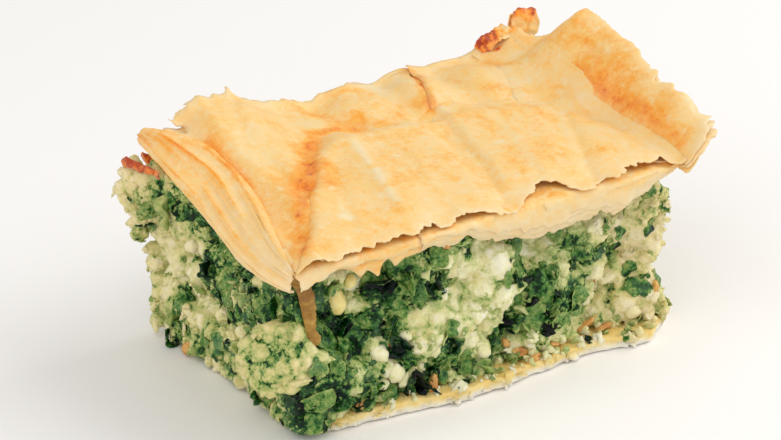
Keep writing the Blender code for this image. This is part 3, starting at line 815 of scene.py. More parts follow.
aprons = [
    {"name": "creamApron", "rails": hanging(creamLow, 0.9, 0.0, 1.2), "along": 150, "across": 26, "seed": 41,
     "thick": 0.3, "tear": 1.5, "tearSize": 3.4, "ripple": 0.75, "rippleSize": 5,
     "toast": [0.6, 0.54, 0.40, 0.24, 0.10, 0.06], "toastNoise": 0.24},
    {"name": "creamMiddle", "rails": hanging(raised(creamLow, 1.3, 2.0, 45), 0.55, 0.6, 0.8), "along": 130,
     "across": 22, "seed": 45, "thick": 0.26, "tear": 1.5, "tearSize": 2.6, "ripple": 0.5, "rippleSize": 6,
     "toast": [0.6, 0.56, 0.42, 0.24, 0.08], "toastNoise": 0.24},
    {"name": "creamUpper", "rails": hanging(raised(creamLow, 2.9, 2.4, 46), 0.35, 1.2, 0.5), "along": 130,
     "across": 20, "seed": 46, "thick": 0.26, "tear": 1.6, "tearSize": 2.4, "ripple": 0.45, "rippleSize": 5,
     "toast": [0.6, 0.58, 0.46, 0.28, 0.10], "toastNoise": 0.26},
    {"name": "creamFold", "rails": hanging(creamStep, 0.5, 1.4, 0.4), "along": 70, "across": 20, "seed": 42,
     "thick": 0.26, "tear": 1.1, "tearSize": 2.4, "ripple": 0.4, "rippleSize": 5, "toast": [0.5, 0.44, 0.32, 0.16],
     "toastNoise": 0.1},
    {"name": "tanApron", "rails": hanging(tanLow, 1.2, 0.0, 0.9), "along": 80, "across": 24, "seed": 43,
     "thick": 0.3, "tear": 0.6, "tearSize": 3, "ripple": 0.6, "rippleSize": 5,
     "toast": [0.5, 0.60, 0.60, 0.56, 0.40], "toastNoise": 0.26},
    {"name": "tanFold", "rails": hanging(tanStep, 0.7, 0.8, 0.3), "along": 80, "across": 18, "seed": 44,
     "thick": 0.26, "tear": 0.8, "tearSize": 2.6, "ripple": 0.5, "rippleSize": 4,
     "toast": [0.5, 0.5, 0.48, 0.36], "toastAlong": [-0.22, -0.14, 0.0, 0.04, 0.04, 0.04], "toastNoise": 0.14},
]
# a dark soaked strip that hangs at the near corner, its ochre finish darkened as painted shade

cornerStrip = {
    "rails": [[(-58.6, -31.0, 44.2), (-55.0, -33.4, 40), (-53.6, -34.2, 34), (-52.4, -34.4, 27)],
              [(-55.4, -34.6, 44.8), (-53.2, -35.4, 40), (-52.2, -35.4, 34), (-51.4, -35.8, 25.4)],
              [(-51.4, -35.0, 44.4), (-50.8, -35.4, 38), (-51.0, -35.6, 33), (-50.4, -35.6, 26)]],
    "along": 60, "across": 26, "seed": 44, "thick": 0.5, "tear": 1.0, "tearSize": 2.4, "ripple": 1.6, "rippleSize": 4,
    "toast": [0.80, 0.84, 0.80], "toastNoise": 0.3,
}

# scorched scraps at the back edge and under the hem

scraps = [
    {"rails": [[(47.4, 39.2, 52.2), (48.2, 39.4, 56.2), (51.4, 39.2, 58.6), (55.4, 38.8, 58.9), (59, 38.4, 58.4)],
               [(47.2, 37.6, 52), (48.6, 37.4, 57), (51.8, 37, 59.4), (55.6, 36.6, 59.6), (59.4, 36.4, 59)],
               [(48.8, 35.6, 52), (50.2, 35.4, 55.6), (52.6, 35, 57.2), (56, 34.8, 57.6), (59.6, 35, 57.6)]],
     "along": 60, "across": 28, "seed": 51, "tear": 0.7, "tearSize": 2, "ripple": 1.3, "rippleSize": 2.0,
     "toast": [0.80, 0.74, 0.70], "toastAlong": [0.06, 0.04, -0.02, -0.12], "toastNoise": 0.8, "thick": 0.35},
    {"rails": [[(49.6, 35.4, 54), (52, 34.9, 55.6), (55, 34.8, 56), (57.6, 34.8, 56.4)],
               [(49, 34.6, 53.2), (52, 33.8, 54.4), (55, 33.6, 55), (58, 33.6, 55.4)],
               [(50, 33, 53.6), (52.4, 32.4, 54.4), (55, 32.4, 54.6), (58, 32.6, 55)]],
     "along": 22, "across": 10, "seed": 52, "tear": 0.4, "tearSize": 2, "ripple": 0.4, "rippleSize": 3,
     "toast": [0.9, 0.8, 0.55], "toastNoise": 0.14},
    {"rails": [[(57, 37.4, 54.6), (61, 36.6, 55.2), (65, 36, 55.6)],
               [(57.2, 36.8, 58.6), (61.2, 35.8, 59), (65.6, 35.4, 59.2)],
               [(58, 36.8, 62.4), (61.6, 36.4, 63.2), (65.2, 36, 62.6)],
               [(58.6, 38, 63), (61.8, 38.2, 63.4), (65, 37.6, 63)],
               [(58, 39, 60), (61.6, 39.2, 60.4), (65.2, 38.4, 60)],
               [(57.6, 38.8, 56), (61.6, 38.8, 56), (65, 38, 56)]],
     "along": 40, "across": 60, "seed": 53, "tear": 0.5, "tearSize": 2, "ripple": 1.1, "rippleSize": 2.4,
     "toast": [0.66, 0.5, 0.48, 0.56, 0.80, 1.0, 0.98, 0.8, 0.6, 0.6, 0.5], "toastNoise": 0.5, "thick": 0.4},
    {"rails": [[(-61.4, 37.6, 50.2), (-61.2, 34, 50.4), (-60.8, 30, 50.6), (-60.4, 26, 51), (-60, 21.6, 51.2)],
               [(-62.2, 37.4, 49), (-62, 33.6, 49.4), (-61.6, 29.6, 49.8), (-61.2, 25.6, 50.4), (-60.6, 21.4, 50.6)],
               [(-61.6, 37, 47.6), (-61.4, 33.4, 48.4), (-61.2, 29.2, 48.8), (-60.8, 25.4, 49.6), (-60.2, 21.2, 50)]],
     "along": 40, "across": 12, "seed": 54, "tear": 1.0, "tearSize": 1.6, "ripple": 0.9, "rippleSize": 1.8,
     "toast": [1.0, 0.99, 1.0], "toastNoise": 0.1, "thick": 0.6},
    {"rails": [[(-57.6, 35, 51), (-56, 33.6, 50), (-55, 30, 49)],
               [(-58.4, 33, 50.4), (-57.4, 31.4, 49), (-56.2, 28.6, 48)],
               [(-57.6, 31.4, 49), (-57, 29.6, 47.6), (-56.2, 27, 47)]],
     "along": 18, "across": 9, "seed": 55, "tear": 0.5, "tearSize": 2, "ripple": 0.5, "rippleSize": 2,
     "toast": [0.97, 1.0, 0.98], "toastNoise": 0.1, "thick": 0.6},
]

bakedFinish = Finish("bakedLeaf", Roughness=0.45, IOR=1.45, Subsurface_Weight=0.14, Subsurface_Scale=0.0014,
                     Subsurface_Radius=(1.0, 0.55, 0.22))


def bakedMaterial(f):
    toast = f.sum(f.mark("toast"), f.sum(varied(f, 7, 0.34, 5.0), varied(f, 2.2, 0.46, 6.0)))
    streaks = f.sum(f.noise(3, 4, place=f.stretched((1, 0.28, 1), (0, 0, 0.45))), -0.5)
    toast = f.sum(toast, f.sum(f.times(streaks, 0.34), varied(f, 0.8, 0.30, 3.0)))
    freckles = f.scaled(f.noise(2.6, 3, 0.5), 0.0, 0.12, 0.58, 0.74)
    toast = f.sum(toast, f.times(freckles, f.scaled(toast, 0.0, 1.0, 0.55, 0.80)))
    colour = f.ramp(toast, (0.0, (250, 232, 204)), (0.20, (249, 224, 182)), (0.36, (251, 218, 162)),
                    (0.50, (254, 212, 144)), (0.63, (254, 194, 104)), (0.76, (254, 172, 58)),
                    (0.88, (246, 142, 34)), (1.0, (182, 70, 22)), dim=(1.0, 0.90, 0.70))
    bloom = f.scaled(f.noise(3.6, 6, 0.66), 0.0, 0.26, 0.555, 0.59)
    bloom = f.sum(bloom, f.scaled(f.noise(6, 6, 0.7), 0.0, 0.20, 0.50, 0.53))
    bloom = f.times(bloom, f.scaled(toast, 1.0, 0.25, 0.50, 0.75))
    colour = f.mixed(bloom, colour, linear(246, 226, 184))
    colour = f.mixed(f.times(f.mark("edge"), 0.22), colour, linear(240, 218, 180))
    rough = f.scaled(f.noise(5, 3), 0.38, 0.58)
    wrinkle = f.noise(1.8, 5, place=f.stretched((1, 0.45, 1), (0, 0, 0.9)), warp=0.8)
    relief = f.bump(wrinkle, 0.36, 0.30, f.bump(f.noise(0.7, 4, 0.65), 0.30, 0.14))
    return f.wear(Base_Color=colour, Roughness=rough, Normal=relief)


bakedLeaf = bakedMaterial(bakedFinish)

finished(joined("underLeaves", [makeUnderLeaf(k) for k in range(underLeaves["count"])]),
         bakedLeaf, "top_pastry", "top_pastry")
for name, sheet in {"leftLeaf": leftLeaf, "backLeaf": backLeaf, "puffLeft": puffLeft, "puffRight": puffRight,
                    "rightLeaf": rightLeaf, "frontLeaf": frontLeaf, "flapLeaf": flapLeaf}.items():
    finished(makeSheet(name, sheet), bakedLeaf, "top_pastry")
finished(joined("flapBacks", [makeFlapBack(k, back) for k, back in enumerate(flapBacks)]), bakedLeaf, "top_pastry")
finished(makeHem(), bakedLeaf, "top_pastry")
for apron in aprons:
    finished(makeRibbon(apron["name"], apron), bakedLeaf, "top_pastry")
finished(joined("scorchedScraps", [makeRibbon(f"scrap{k}", scrap) for k, scrap in enumerate(scraps)]),
         bakedLeaf, "top_pastry")
print("crust made")


# the filling: lumps of curd and chopped leaf pressed into one moist mass

facings = {"front": (0, -1, 0), "left": (-1, 0, 0), "right": (1, 0, 0), "back": (0, 1, 0)}
leafSpots = {  # where leaves crowd: x and z on the front and back, y and z on the left and right
    "front": [(-56, 11), (-52, 13), (-53, 4), (-44, 34), (-40, 22), (-47, 18), (-37, 12), (-35, 7), (-27, 16),
              (-46, 8), (-47, 30), (-47, 25), (-40, 25), (-50, 15), (-32, 37), (-28, 34), (-23, 36), (-15, 42),
              (-9, 43), (-30, 5), (-20, 4), (-14, 8), (-7, 7), (2, 7), (10, 36), (11, 30), (4, 28), (15, 24),
              (17, 20), (19, 16), (14, 14), (28, 15), (21, 36), (27, 27), (36, 27), (-54, 36), (-25, 26), (-29, 30),
              (-12, 19), (-33, 26), (22, 12), (30, 21), (-16, 27), (-12, 14), (-21, 34), (8, 22)],
    "left": [(24, 40), (18, 47), (10, 40), (2, 43), (36, 28), (0, 45), (6, 31), (11, 23), (-16, 28), (-21, 29),
             (-11, 36), (1, 24), (24, 13), (21, 8), (2, 10), (-8, 24), (-24, 34), (-33, 37), (-2, 22), (-18, 34),
             (13, 3), (9, 9), (-12, 30)],
    "back": [(-40, 34), (-24, 20), (-8, 36), (6, 14), (20, 34), (33, 20), (46, 36), (50, 12), (-48, 14), (-30, 8)],
    "right": [(-28, 16), (-16, 36), (-4, 14), (8, 34), (20, 20), (30, 38), (-30, 34), (14, 8)],
}
curdSpots = {
    "front": [(-35, 33), (-1, 33), (8, 33), (12, 33), (24, 34), (30, 27), (38, 25), (40, 19), (22, 22), (12, 27),
              (-4, 36), (1, 25), (5, 22), (-8, 25), (-20, 23), (-15, 22), (-6, 15), (-2, 9), (-30, 12), (33, 32),
              (50, 35), (56, 35), (45, 26), (51, 24), (57, 27), (52, 16), (57, 20), (41, 36), (37, 33), (48, 9),
              (54, 8), (46, 38), (34, 23), (42, 18), (45, 10), (32, 14), (48, 28), (46, 34), (52, 22), (54, 32),
              (10, 9), (25, 4), (38, 5), (-10, 38), (-37, 37), (-18, 16), (-46, 38), (18, 31), (40, 30), (55, 14)],
    "left": [(34, 44), (38, 38), (30, 47), (36, 42), (33, 36), (29, 42), (34, 24), (31, 18), (28, 9), (13, 34),
             (26, 25), (19, 22), (30, 12), (33, 20), (2, 39), (-5, 26), (2, 18), (-10, 20), (14, 13), (28, 30),
             (-18, 36), (-26, 22), (-12, 6), (-3, 5), (8, 16), (20, 32), (30, 5)],
    "back": [(-32, 20), (-14, 12), (0, 30), (14, 22), (28, 36), (40, 10), (-46, 28), (52, 26)],
    "right": [(-22, 26), (-8, 26), (4, 22), (16, 30), (28, 12), (-32, 8)],
}
hollows = {  # where the mass sinks back: across, up, reach, depth
    "front": [(-50, 37, 4.4, 3.2), (-44, 26, 3.4, 2.4), (-37.5, 23.6, 4.4, 3.4), (-54, 7, 5.0, 0.5),
              (-47.5, 11, 3.6, 0.7), (-29, 31, 2.8, 2.8), (-15, 27, 2.0, 2.0), (27, 32, 2.6, 2.6), (34, 27, 3.4, 2.2),
              (40.5, 23, 2.8, 2.8), (45.5, 14, 2.8, 2.2), (50.5, 30.5, 1.8, 1.4), (5, 12, 3.0, 2.6),
              (-6.5, 38, 2.2, 1.8), (15, 23, 2.6, 1.4), (-51, 29, 3.6, 2.6), (-30, 7, 1.8, 1.6), (-12, 11, 2.0, 1.6)],
    "left": [(0, 45, 4.6, 2.8), (-11, 36, 3.4, 2.2), (11, 23, 2.0, 1.6), (-8, 24, 2.6, 2.6), (6, 31, 2.4, 1.8),
             (25, 44, 2.6, 2.0), (-16, 44, 4.0, 2.2)],
    "back": [(-20, 30, 3, 2), (12, 30, 3, 2), (36, 24, 3, 2)], "right": [(-14, 18, 3, 2), (12, 16, 3, 2)],
}
bigLumps = {  # across, up, half sizes across, up and out, how far it stands out, tone
    "front": [(-33, 18.8, (2.9, 2.2, 2.6), 0.6, 0.9), (-29.6, 12.6, (2.5, 2.6, 2.4), 0.6, 0.76),
              (-24, 11, (2.3, 2.9, 2.4), 0.5, 0.58), (-37, 29.5, (3.8, 1.9, 2.6), 0.9, 0.66),
              (-38, 36, (4.4, 2.2, 2.6), 0.6, 0.6), (-42, 40, (1.9, 1.9, 2.0), 0.6, 0.55),
              (-40, 14, (4.0, 3.6, 3.0), 0.0, 0.16), (-20, 23, (3.6, 3.6, 2.8), 0.7, 0.56),
              (-14.6, 22, (2.7, 4.0, 2.8), 0.8, 0.72), (-28, 34, (2.4, 2.2, 2.2), 0.5, 0.8),
              (-14, 38, (2.2, 2.0, 2.2), 0.5, 0.78), (-5, 34.5, (6.2, 4.4, 3.6), 0.5, 0.44),
              (-1.6, 26.6, (4.6, 3.8, 3.4), 1.0, 0.66), (2.4, 32.5, (2.6, 4.6, 3.0), 0.9, 0.84),
              (4.2, 24.2, (3.2, 5.4, 3.2), 1.2, 0.7), (-8.4, 18, (4.0, 4.2, 3.0), 0.8, 0.7),
              (-1.8, 9.4, (3.4, 3.0, 2.8), 0.8, 0.96), (-5.4, 13.4, (3.0, 3.2, 2.6), 0.7, 0.8),
              (0.6, 16.4, (3.4, 3.4, 2.8), 0.8, 0.66), (4.0, 17.4, (2.0, 2.6, 2.2), 1.0, 0.86),
              (33.4, 31.4, (3.6, 3.0, 2.8), 0.6, 0.52), (34, 22.6, (4.4, 2.4, 2.8), 0.8, 0.6),
              (42, 17.8, (3.8, 2.4, 2.6), 0.7, 0.54), (45, 9.4, (4.4, 3.5, 3.0), 0.9, 0.97),
              (31.6, 14.4, (3.6, 2.8, 2.6), 0.4, 0.66), (18.8, 30.8, (2.7, 2.6, 2.4), 0.5, 0.58),
              (20.6, 8.4, (3.4, 2.0, 2.2), 0.5, 0.66), (13, 8.6, (2.6, 2.2, 2.2), 0.5, 0.5),
              (26.6, 11.4, (2.6, 2.0, 2.0), 0.4, 0.74), (38.6, 9.2, (2.0, 1.8, 1.8), 0.5, 0.62),
              (49, 30, (4.2, 4.6, 3.2), 0.5, 0.84), (53, 23, (3.4, 4.0, 3.0), 0.5, 0.8),
              (42, 31, (3.4, 3.0, 2.8), 0.4, 0.78), (-11, 34, (2.6, 2.2, 2.2), 0.4, 0.5)],
    "left": [(-5, 26, (2.5, 3.2, 2.4), 0.9, 0.76), (2, 18.4, (2.8, 2.2, 2.2), 0.9, 0.88),
             (-10, 20, (2.6, 2.4, 2.2), 0.6, 0.66), (13.4, 34, (4.2, 3.0, 2.8), 0.8, 0.84),
             (2, 39.4, (3.6, 2.0, 2.4), 0.6, 0.42), (26, 25, (3.4, 5.4, 3.0), 1.3, 0.66),
             (19.4, 22, (3.4, 6.4, 2.8), 0.9, 0.78), (30.4, 12.6, (3.0, 6.4, 2.8), 1.4, 0.66),
             (33, 24, (3.0, 4.0, 2.8), 1.4, 0.6), (21, 7.4, (2.6, 2.8, 2.2), 0.6, 0.6),
             (14, 13, (2.6, 3.4, 2.2), 0.6, 0.82), (-18, 36.4, (2.8, 2.0, 2.2), 0.5, 0.52),
             (-12, 6, (4.0, 2.6, 2.6), 0.4, 0.52), (-3, 5, (3.0, 2.2, 2.2), 0.4, 0.56),
             (30, 3.4, (2.4, 2.6, 2.0), 0.8, 0.52), (32, 36, (3.6, 3.0, 3.0), 1.2, 0.62),
             (34.6, 42.6, (4.4, 4.0, 3.4), 1.6, 0.66), (36.4, 38, (3.6, 3.4, 3.2), 1.6, 0.58),
             (31, 46.4, (3.6, 2.8, 3.0), 1.2, 0.6), (35, 34.4, (3.0, 2.6, 2.6), 1.6, 0.48)],
    "back": [(-30, 20, (5, 4, 3), 0.6, 0.6), (0, 34, (5, 3.6, 3), 0.6, 0.7), (30, 12, (5, 4, 3), 0.6, 0.6),
             (-48, 12, (4, 4, 3), 0.5, 0.6), (16, 22, (4, 3.6, 3), 0.6, 0.8), (46, 28, (4, 4, 3), 0.5, 0.7)],
    "right": [(-10, 36, (4, 3.6, 3), 0.5, 0.7), (12, 28, (4, 4, 3), 0.5, 0.65), (-24, 12, (4, 3.4, 3), 0.5, 0.7),
              (24, 12, (3.6, 3, 2.8), 0.5, 0.8)],
}
skirts = {  # lumps along the foot: from, to, apart, up, half size, out
    "left": [(-26, 37, 3.4, 3.4, 2.6, 0.2)],
    "front": [(-50, 8, 3.6, 5.0, 2.1, 1.0), (10, 57, 3.8, 5.2, 1.9, 0.8), (-46, 57, 4.6, 4.2, 1.5, 2.9)],
    "back": [(-50, 54, 4.0, 5.0, 2.0, 0.3)], "right": [(-34, 36, 4.0, 5.0, 2.0, 0.3)],
}
edgeLumps = [  # lumps that hang out past the corners: x, y, z, half size, leafiness, tone
    (-60.5, 38.5, 40.5, 3.0, 0.0, 0.62), (-60.2, 37.2, 45.0, 2.4, 0.0, 0.66), (-58.5, 38.0, 47.2, 2.2, 0.0, 0.5),
    (-61.0, 35.5, 37.5, 2.3, 0.2, 0.5), (-58.6, 36.2, 28.6, 2.3, 0.9, 0.3), (-56.6, 35.4, 32.0, 2.4, 0.5, 0.4),
    (-55.6, 34.8, 24.0, 2.4, 0.1, 0.6), (-55.0, 34.4, 19.8, 2.5, 0.0, 0.55), (-54.8, 34.0, 15.8, 2.3, 0.2, 0.6),
    (-54.8, 34.0, 11.8, 2.4, 0.0, 0.5), (-54.8, 34.0, 7.8, 2.4, 0.3, 0.4), (-54.9, 34.2, 3.8, 2.6, 0.5, 0.5),
    (-53.6, -33.4, 3.4, 2.9, 1.0, 0.1), (-53.4, -29.0, 3.2, 2.7, 1.0, 0.2), (-53.8, -33.0, 8.6, 2.9, 1.0, 0.0),
    (-51.2, -35.8, 3.4, 2.4, 1.0, 0.1), (-53.4, -24.6, 3.2, 2.6, 0.6, 0.3), (-53.8, -28.0, 9.0, 2.7, 0.9, 0.2),
    (-49.6, -36.0, 9.4, 2.6, 1.0, 0.1),
]
footRows = [(2.9, 53.3, 2.4), (7.0, 52.8, 2.7), (11.4, 53.4, 2.5)]  # along the left foot: up, how far left, half size
# the pale lump at the near corner: a lobed rim round a flatter middle, in the lump's own across, up and out
cornerLump = {
    "middle": (-57.6, -29.6, 21.7), "across": (0.76, -0.65, 0.0), "out": (-0.61, -0.72, 0.32),
    "lobes": [(0, 0, -1.2, 7.4, 0.3, 0.3), (8.2, 6.2, 3.6, 2.7, 0.72, 0), (9.0, 2.6, 3.4, 2.6, 0.80, 0),
              (8.8, -1.4, 3.4, 2.8, 0.74, 0), (7.2, -4.8, 3.2, 2.7, 0.62, 0), (4.4, -7.2, 3.0, 2.6, 0.50, 0.1),
              (5.2, 8.2, 3.2, 2.4, 0.74, 0), (2.0, 7.6, 3.8, 2.5, 0.60, 0), (-1.8, 8.2, 3.0, 2.6, 0.64, 0),
              (-5.4, 6.2, 2.6, 2.7, 0.50, 0.1), (-8.4, 2.8, 1.8, 2.7, 0.24, 0.2), (-9.2, -0.8, 1.4, 2.6, 0.30, 0.1),
              (-8.2, -4.0, 1.4, 2.6, 0.20, 0.3), (-6.2, -6.9, 1.6, 2.5, 0.40, 0.1),
              (-2.8, -8.2, 2.2, 2.5, 0.46, 0.05), (1.0, -8.2, 2.6, 2.4, 0.40, 0.2), (-4.2, 1.2, 4.2, 3.0, 0.24, 0.38),
              (0.2, 3.2, 4.4, 2.7, 0.22, 0.30), (4.6, 2.6, 4.7, 2.3, 0.30, 0.62), (2.4, -1.2, 4.8, 2.5, 0.40, 0.1),
              (-1.4, -3.4, 4.2, 2.8, 0.36, 0.25), (3.0, -4.6, 4.2, 2.5, 0.50, 0), (-4.8, -3.4, 3.6, 2.6, 0.26, 0.40),
              (5.8, -1.4, 4.6, 2.2, 0.64, 0), (-1.6, 0.0, 4.7, 2.1, 0.16, 0.62), (-7.0, 0.6, 3.0, 2.2, 0.30, 0.2),
              (1.6, 5.6, 4.4, 1.9, 0.44, 0.1), (-2.4, 5.0, 4.0, 2.1, 0.34, 0.3), (0.4, -6.0, 4.0, 2.1, 0.42, 0.2),
              (7.4, 1.4, 4.4, 1.8, 0.7, 0)]}
wholeLumps = sum(map(len, bigLumps.values())) + len(cornerLump["lobes"])  # these come first in the table
mash = {"voxel": 0.64, "inset": 1.8, "deepest": 3.4, "hiddenShare": 0.59, "lastShare": 0.94, "smoothing": 2,
        "tries": 9000, "fill": 0.57, "seed": 61,
        "curd": (1.1, 2.7), "leaf": (1.2, 3.0), "mixed": (1.0, 2.2), "crumple": 0.8, "crumpleSize": 4.0,
        "crumbs": 0.60, "crumbSize": 2.2}
lumpForm = {"leaf": (1.30, 1.0, 0.55), "curd": (1.05, 1.0, 0.95), "mixed": (1.15, 1.0, 0.75)}


def castOnto(tree, face, across, up):
    out = np.array(facings[face], float)
    start = out * (110, 90, 0) + np.abs(out[[1, 0, 2]]) * across + (0, 0, up)
    place, normal, _, _ = tree.ray_cast(Vector(start), Vector(0.0 - out))
    return (None, None) if place is None else (np.array(place), np.array(normal))


def nearSpots(tree, points, spots, reach):
    total = np.zeros(len(points))
    for face, places in spots.items():
        for across, up in places:
            place, _ = castOnto(tree, face, across, up)
            if place is not None:
                total += bell(np.linalg.norm(points - place, axis=1), reach)
    return total


def ballShape(level):
    bm = bmesh.new()
    bmesh.ops.create_icosphere(bm, subdivisions=level, radius=1.0)
    points = np.array([v.co[:] for v in bm.verts])
    faces = np.array([[v.index for v in f.verts] for f in bm.faces])
    bm.free()
    return points, faces


def sideways(points, normals):  # 1 on the open sides of the cut block
    x, y, z = points.T
    within = smooth((x + 54) / 2) * smooth((55 - x) / 2) * smooth((y + 34) / 2) * smooth((36 - y) / 2)
    bare = smooth((0.80 - normals[:, 2]) / 0.4) * smooth((z - 1.0) / 1.5) * (1 - within * smooth((z - 38) / 3))
    return bare * smooth((53 - points[:, 2]) / 4) * smooth((normals[:, 2] + 0.98) / 0.2)


def addWholeLumps(tree, rng, add):
    for face, rows in bigLumps.items():
        away = Vector(facings[face]) + Vector((0, 0, 0.1))
        for across, up, size, out, tone in rows:
            place, _ = castOnto(tree, face, across, up)
            if place is not None:
                spin = Matrix.Rotation(rng.uniform(-0.3, 0.3), 3, "Z")
                turn = np.array(away.to_track_quat("Z", "Y").to_matrix() @ spin)
                add(place + np.array(away.normalized()) * (out - size[2]), size, turn, 0.0, tone)
    lumpOut, lumpAcross = (unitRows(np.array(cornerLump[key])) for key in ("out", "across"))
    lumpUp = np.cross(lumpOut, lumpAcross)
    for a, b, c, radius, tone, leaf in cornerLump["lobes"]:
        middle = np.array(cornerLump["middle"]) + 0.78 * a * lumpAcross + 0.86 * b * lumpUp + c * lumpOut
        middle = middle + rng.uniform(-0.6, 0.6, 3)
        add(middle, radius * rng.uniform(0.85, 1.14, 3), turnOf(lumpOut, rng, 0.6), leaf, tone - 0.16)


def addEdgeLumps(tree, rng, add):
    for face, begin, end, apart, up, size, out in ((face, *row) for face, rows in skirts.items() for row in rows):
        away = np.array(facings[face], float)
        for across in np.arange(begin, end, apart):
            across, high = across + rng.uniform(-1, 1), max(up + rng.uniform(-0.7, 0.9), 4.3)
            place, _ = castOnto(tree, face, across, high)
            if place is not None:
                place[2] = up + rng.uniform(-0.8, 0.6)
                sizes3, leaf = size * rng.uniform(0.75, 1.3, 3), rng.choice((0.0, 0.2, 0.9))
                add(place + away * (out - size * 0.9), sizes3, np.eye(3), leaf, rng.uniform(0.3, 0.8))
    for x, y, z, size, leaf, tone in edgeLumps:
        add(np.array([x, y, z]), size * rng.uniform(0.88, 1.12, 3), np.eye(3), leaf, tone)
    for up, far, size in footRows:
        for y in np.arange(-26.0, 32.0, 3.3):
            middle = np.array([-far, y, up]) + rng.uniform(-0.7, 0.7, 3) * (1, 1.6, 0.6)
            sizes3, leaf = size * rng.uniform(0.75, 1.2, 3), rng.choice((0.0, 0.1, 0.4, 0.9))
            add(middle, sizes3, np.eye(3), leaf, rng.uniform(0.2, 0.8))


def sideSpots(mesh, rng):  # random places on the open sides, and which way each one faces
    mesh.calc_loop_triangles()
    corners = np.empty(len(mesh.loop_triangles) * 3, np.int32)
    mesh.loop_triangles.foreach_get("vertices", corners)
    corners = corners.reshape(-1, 3)
    points, normals = pointsOf(mesh), normalsOf(mesh)
    room = sideways(points, normals)[corners].mean(axis=1)
    a, b, c = (points[corners[:, k]] for k in range(3))
    area = np.linalg.norm(np.cross(b - a, c - a), axis=1) * room
    pick = rng.choice(len(corners), mash["tries"], p=area / area.sum())
    s, t = np.sqrt(rng.random(mash["tries"]))[:, None], rng.random(mash["tries"])[:, None]
    return a[pick] * (1 - s) + b[pick] * s * (1 - t) + c[pick] * s * t, unitRows(normals[corners[pick]].mean(axis=1))


def addPressedLumps(mesh, tree, rng, add):  # the biggest first, then what still fits between them
    spots, facing = sideSpots(mesh, rng)
    pull = 0.9 * (nearSpots(tree, spots, leafSpots, 4.4) - nearSpots(tree, spots, curdSpots, 4.4))
    pull += 1.3 * layeredWaves(spots, 7, 2, 601) + rng.normal(0, 0.28, len(spots))
    kinds = np.where(pull > 0.22, "leaf", np.where(pull < -0.20, "curd", "mixed"))
    low, high = (np.array([mash[kind][end] for kind in kinds]) for end in (0, 1))
    radii = low + (high - low) * rng.random(len(spots)) ** 2.2
    kept = []
    for k in np.argsort(-radii):
        near = np.array(kept, int)
        away = np.linalg.norm(spots[near] - spots[k], axis=1)
        if (away < mash["fill"] * (radii[near] + radii[k])).any():
            continue
        kept.append(k)
        reach = rng.uniform(-1.2, 1.1) if kinds[k] == "curd" else rng.uniform(-1.5, 0.6)
        size = radii[k] * rng.uniform(0.75, 1.25, 3) * lumpForm[kinds[k]]
        turn = turnOf(facing[k], rng, 1.2)
        leaf = {"leaf": rng.uniform(0.8, 1.0), "curd": rng.uniform(0, 0.12),
                "mixed": rng.uniform(0.25, 0.7)}[kinds[k]]
        add(spots[k] + facing[k] * (reach - radii[k]), size, turn, leaf, rng.uniform(0.1, 0.95))


def lumpTable(mesh, tree):
    # every lump's middle, half sizes, turn, leafiness and tone
    rng, rows = np.random.default_rng(mash["seed"]), []

    def add(*row):
        rows.append(row)

    addWholeLumps(tree, rng, add)
    addEdgeLumps(tree, rng, add)
    addPressedLumps(mesh, tree, rng, add)
    return [np.array(column, float) for column in zip(*rows)]


def turnOf(normal, rng, tilt):
    away = Vector(normal).to_track_quat("Z", "Y").to_matrix()
    spin = Matrix.Rotation(rng.uniform(0, 2 * math.pi), 3, "Z")
    lean = Matrix.Rotation(rng.uniform(-tilt, tilt), 3, "X") @ Matrix.Rotation(rng.uniform(-tilt, tilt), 3, "Y")
    return np.array(away @ spin @ lean)


def nearestTwo(points, middles, radii):
    # for every point the nearest lump's number and how much farther the next one is
    owner, second, gap = np.zeros(len(points), int), np.zeros(len(points), int), np.zeros(len(points))
    square = (middles ** 2).sum(axis=1)[None]
    for start in range(0, len(points), 3000):
        part = points[start:start + 3000]
        away = np.sqrt(np.maximum((part ** 2).sum(axis=1)[:, None] + square - 2 * part @ middles.T, 0)) - radii[None]
        first = away.argmin(axis=1)
        rows = np.arange(len(part))
        best = away[rows, first].copy()
        away[rows, first] = 1e9
        other = away.argmin(axis=1)
        owner[start:start + 3000], second[start:start + 3000] = first, other
        gap[start:start + 3000] = away[rows, other] - best
    return owner, second, gap


def hollowed(mesh, tree, middles, leafy, tones):
    # the hollows press the mass and its lumps inwards, and what lies in them turns leafy and lower in tone, which
    # paints it darker as painted shade
    points, normals = pointsOf(mesh), normalsOf(mesh)
    sunk, deepSpots = np.zeros(len(points)), []
    for face, places in hollows.items():
        for across, up, reach, depth in places:
            place, _ = castOnto(tree, face, across, up)
            deepSpots.append((place, reach))
            sunk += depth * bell(np.linalg.norm(points - place, axis=1), reach)
            away = np.linalg.norm(middles - place, axis=1)
            deep = bell(away, reach * 1.1)
            middles = middles - np.array(facings[face]) * (deep * depth)[:, None]
            leafy = np.maximum(leafy, smooth(deep * 1.6) * (wholeLumps < np.arange(len(leafy))))
            tones = tones * (1 - 0.8 * smooth(deep * 1.5) * (leafy > 0.5))
    movePoints(mesh, points - normals * (mash["inset"] + np.minimum(sunk, mash["deepest"]))[:, None])
    return middles, leafy, tones, deepSpots


def lumpsBuilt(middles, sizes, turns):
    ball, small = ballShape(3), ballShape(2)
    every, faces, total = [], [], 0
    for middle, size, turn in zip(middles, sizes, turns):
        shape, shapeFaces = ball if size.max() > 1.5 else small
        swell = 1 + 0.34 * waves(shape * size + middle * 3, 2.4, 62)
        every.append((shape * size * swell[:, None]) @ turn.T + middle)
        faces.append(shapeFaces + total)
        total += len(shape)
    return meshBuilt("lumps", np.vstack(every), np.vstack(faces))


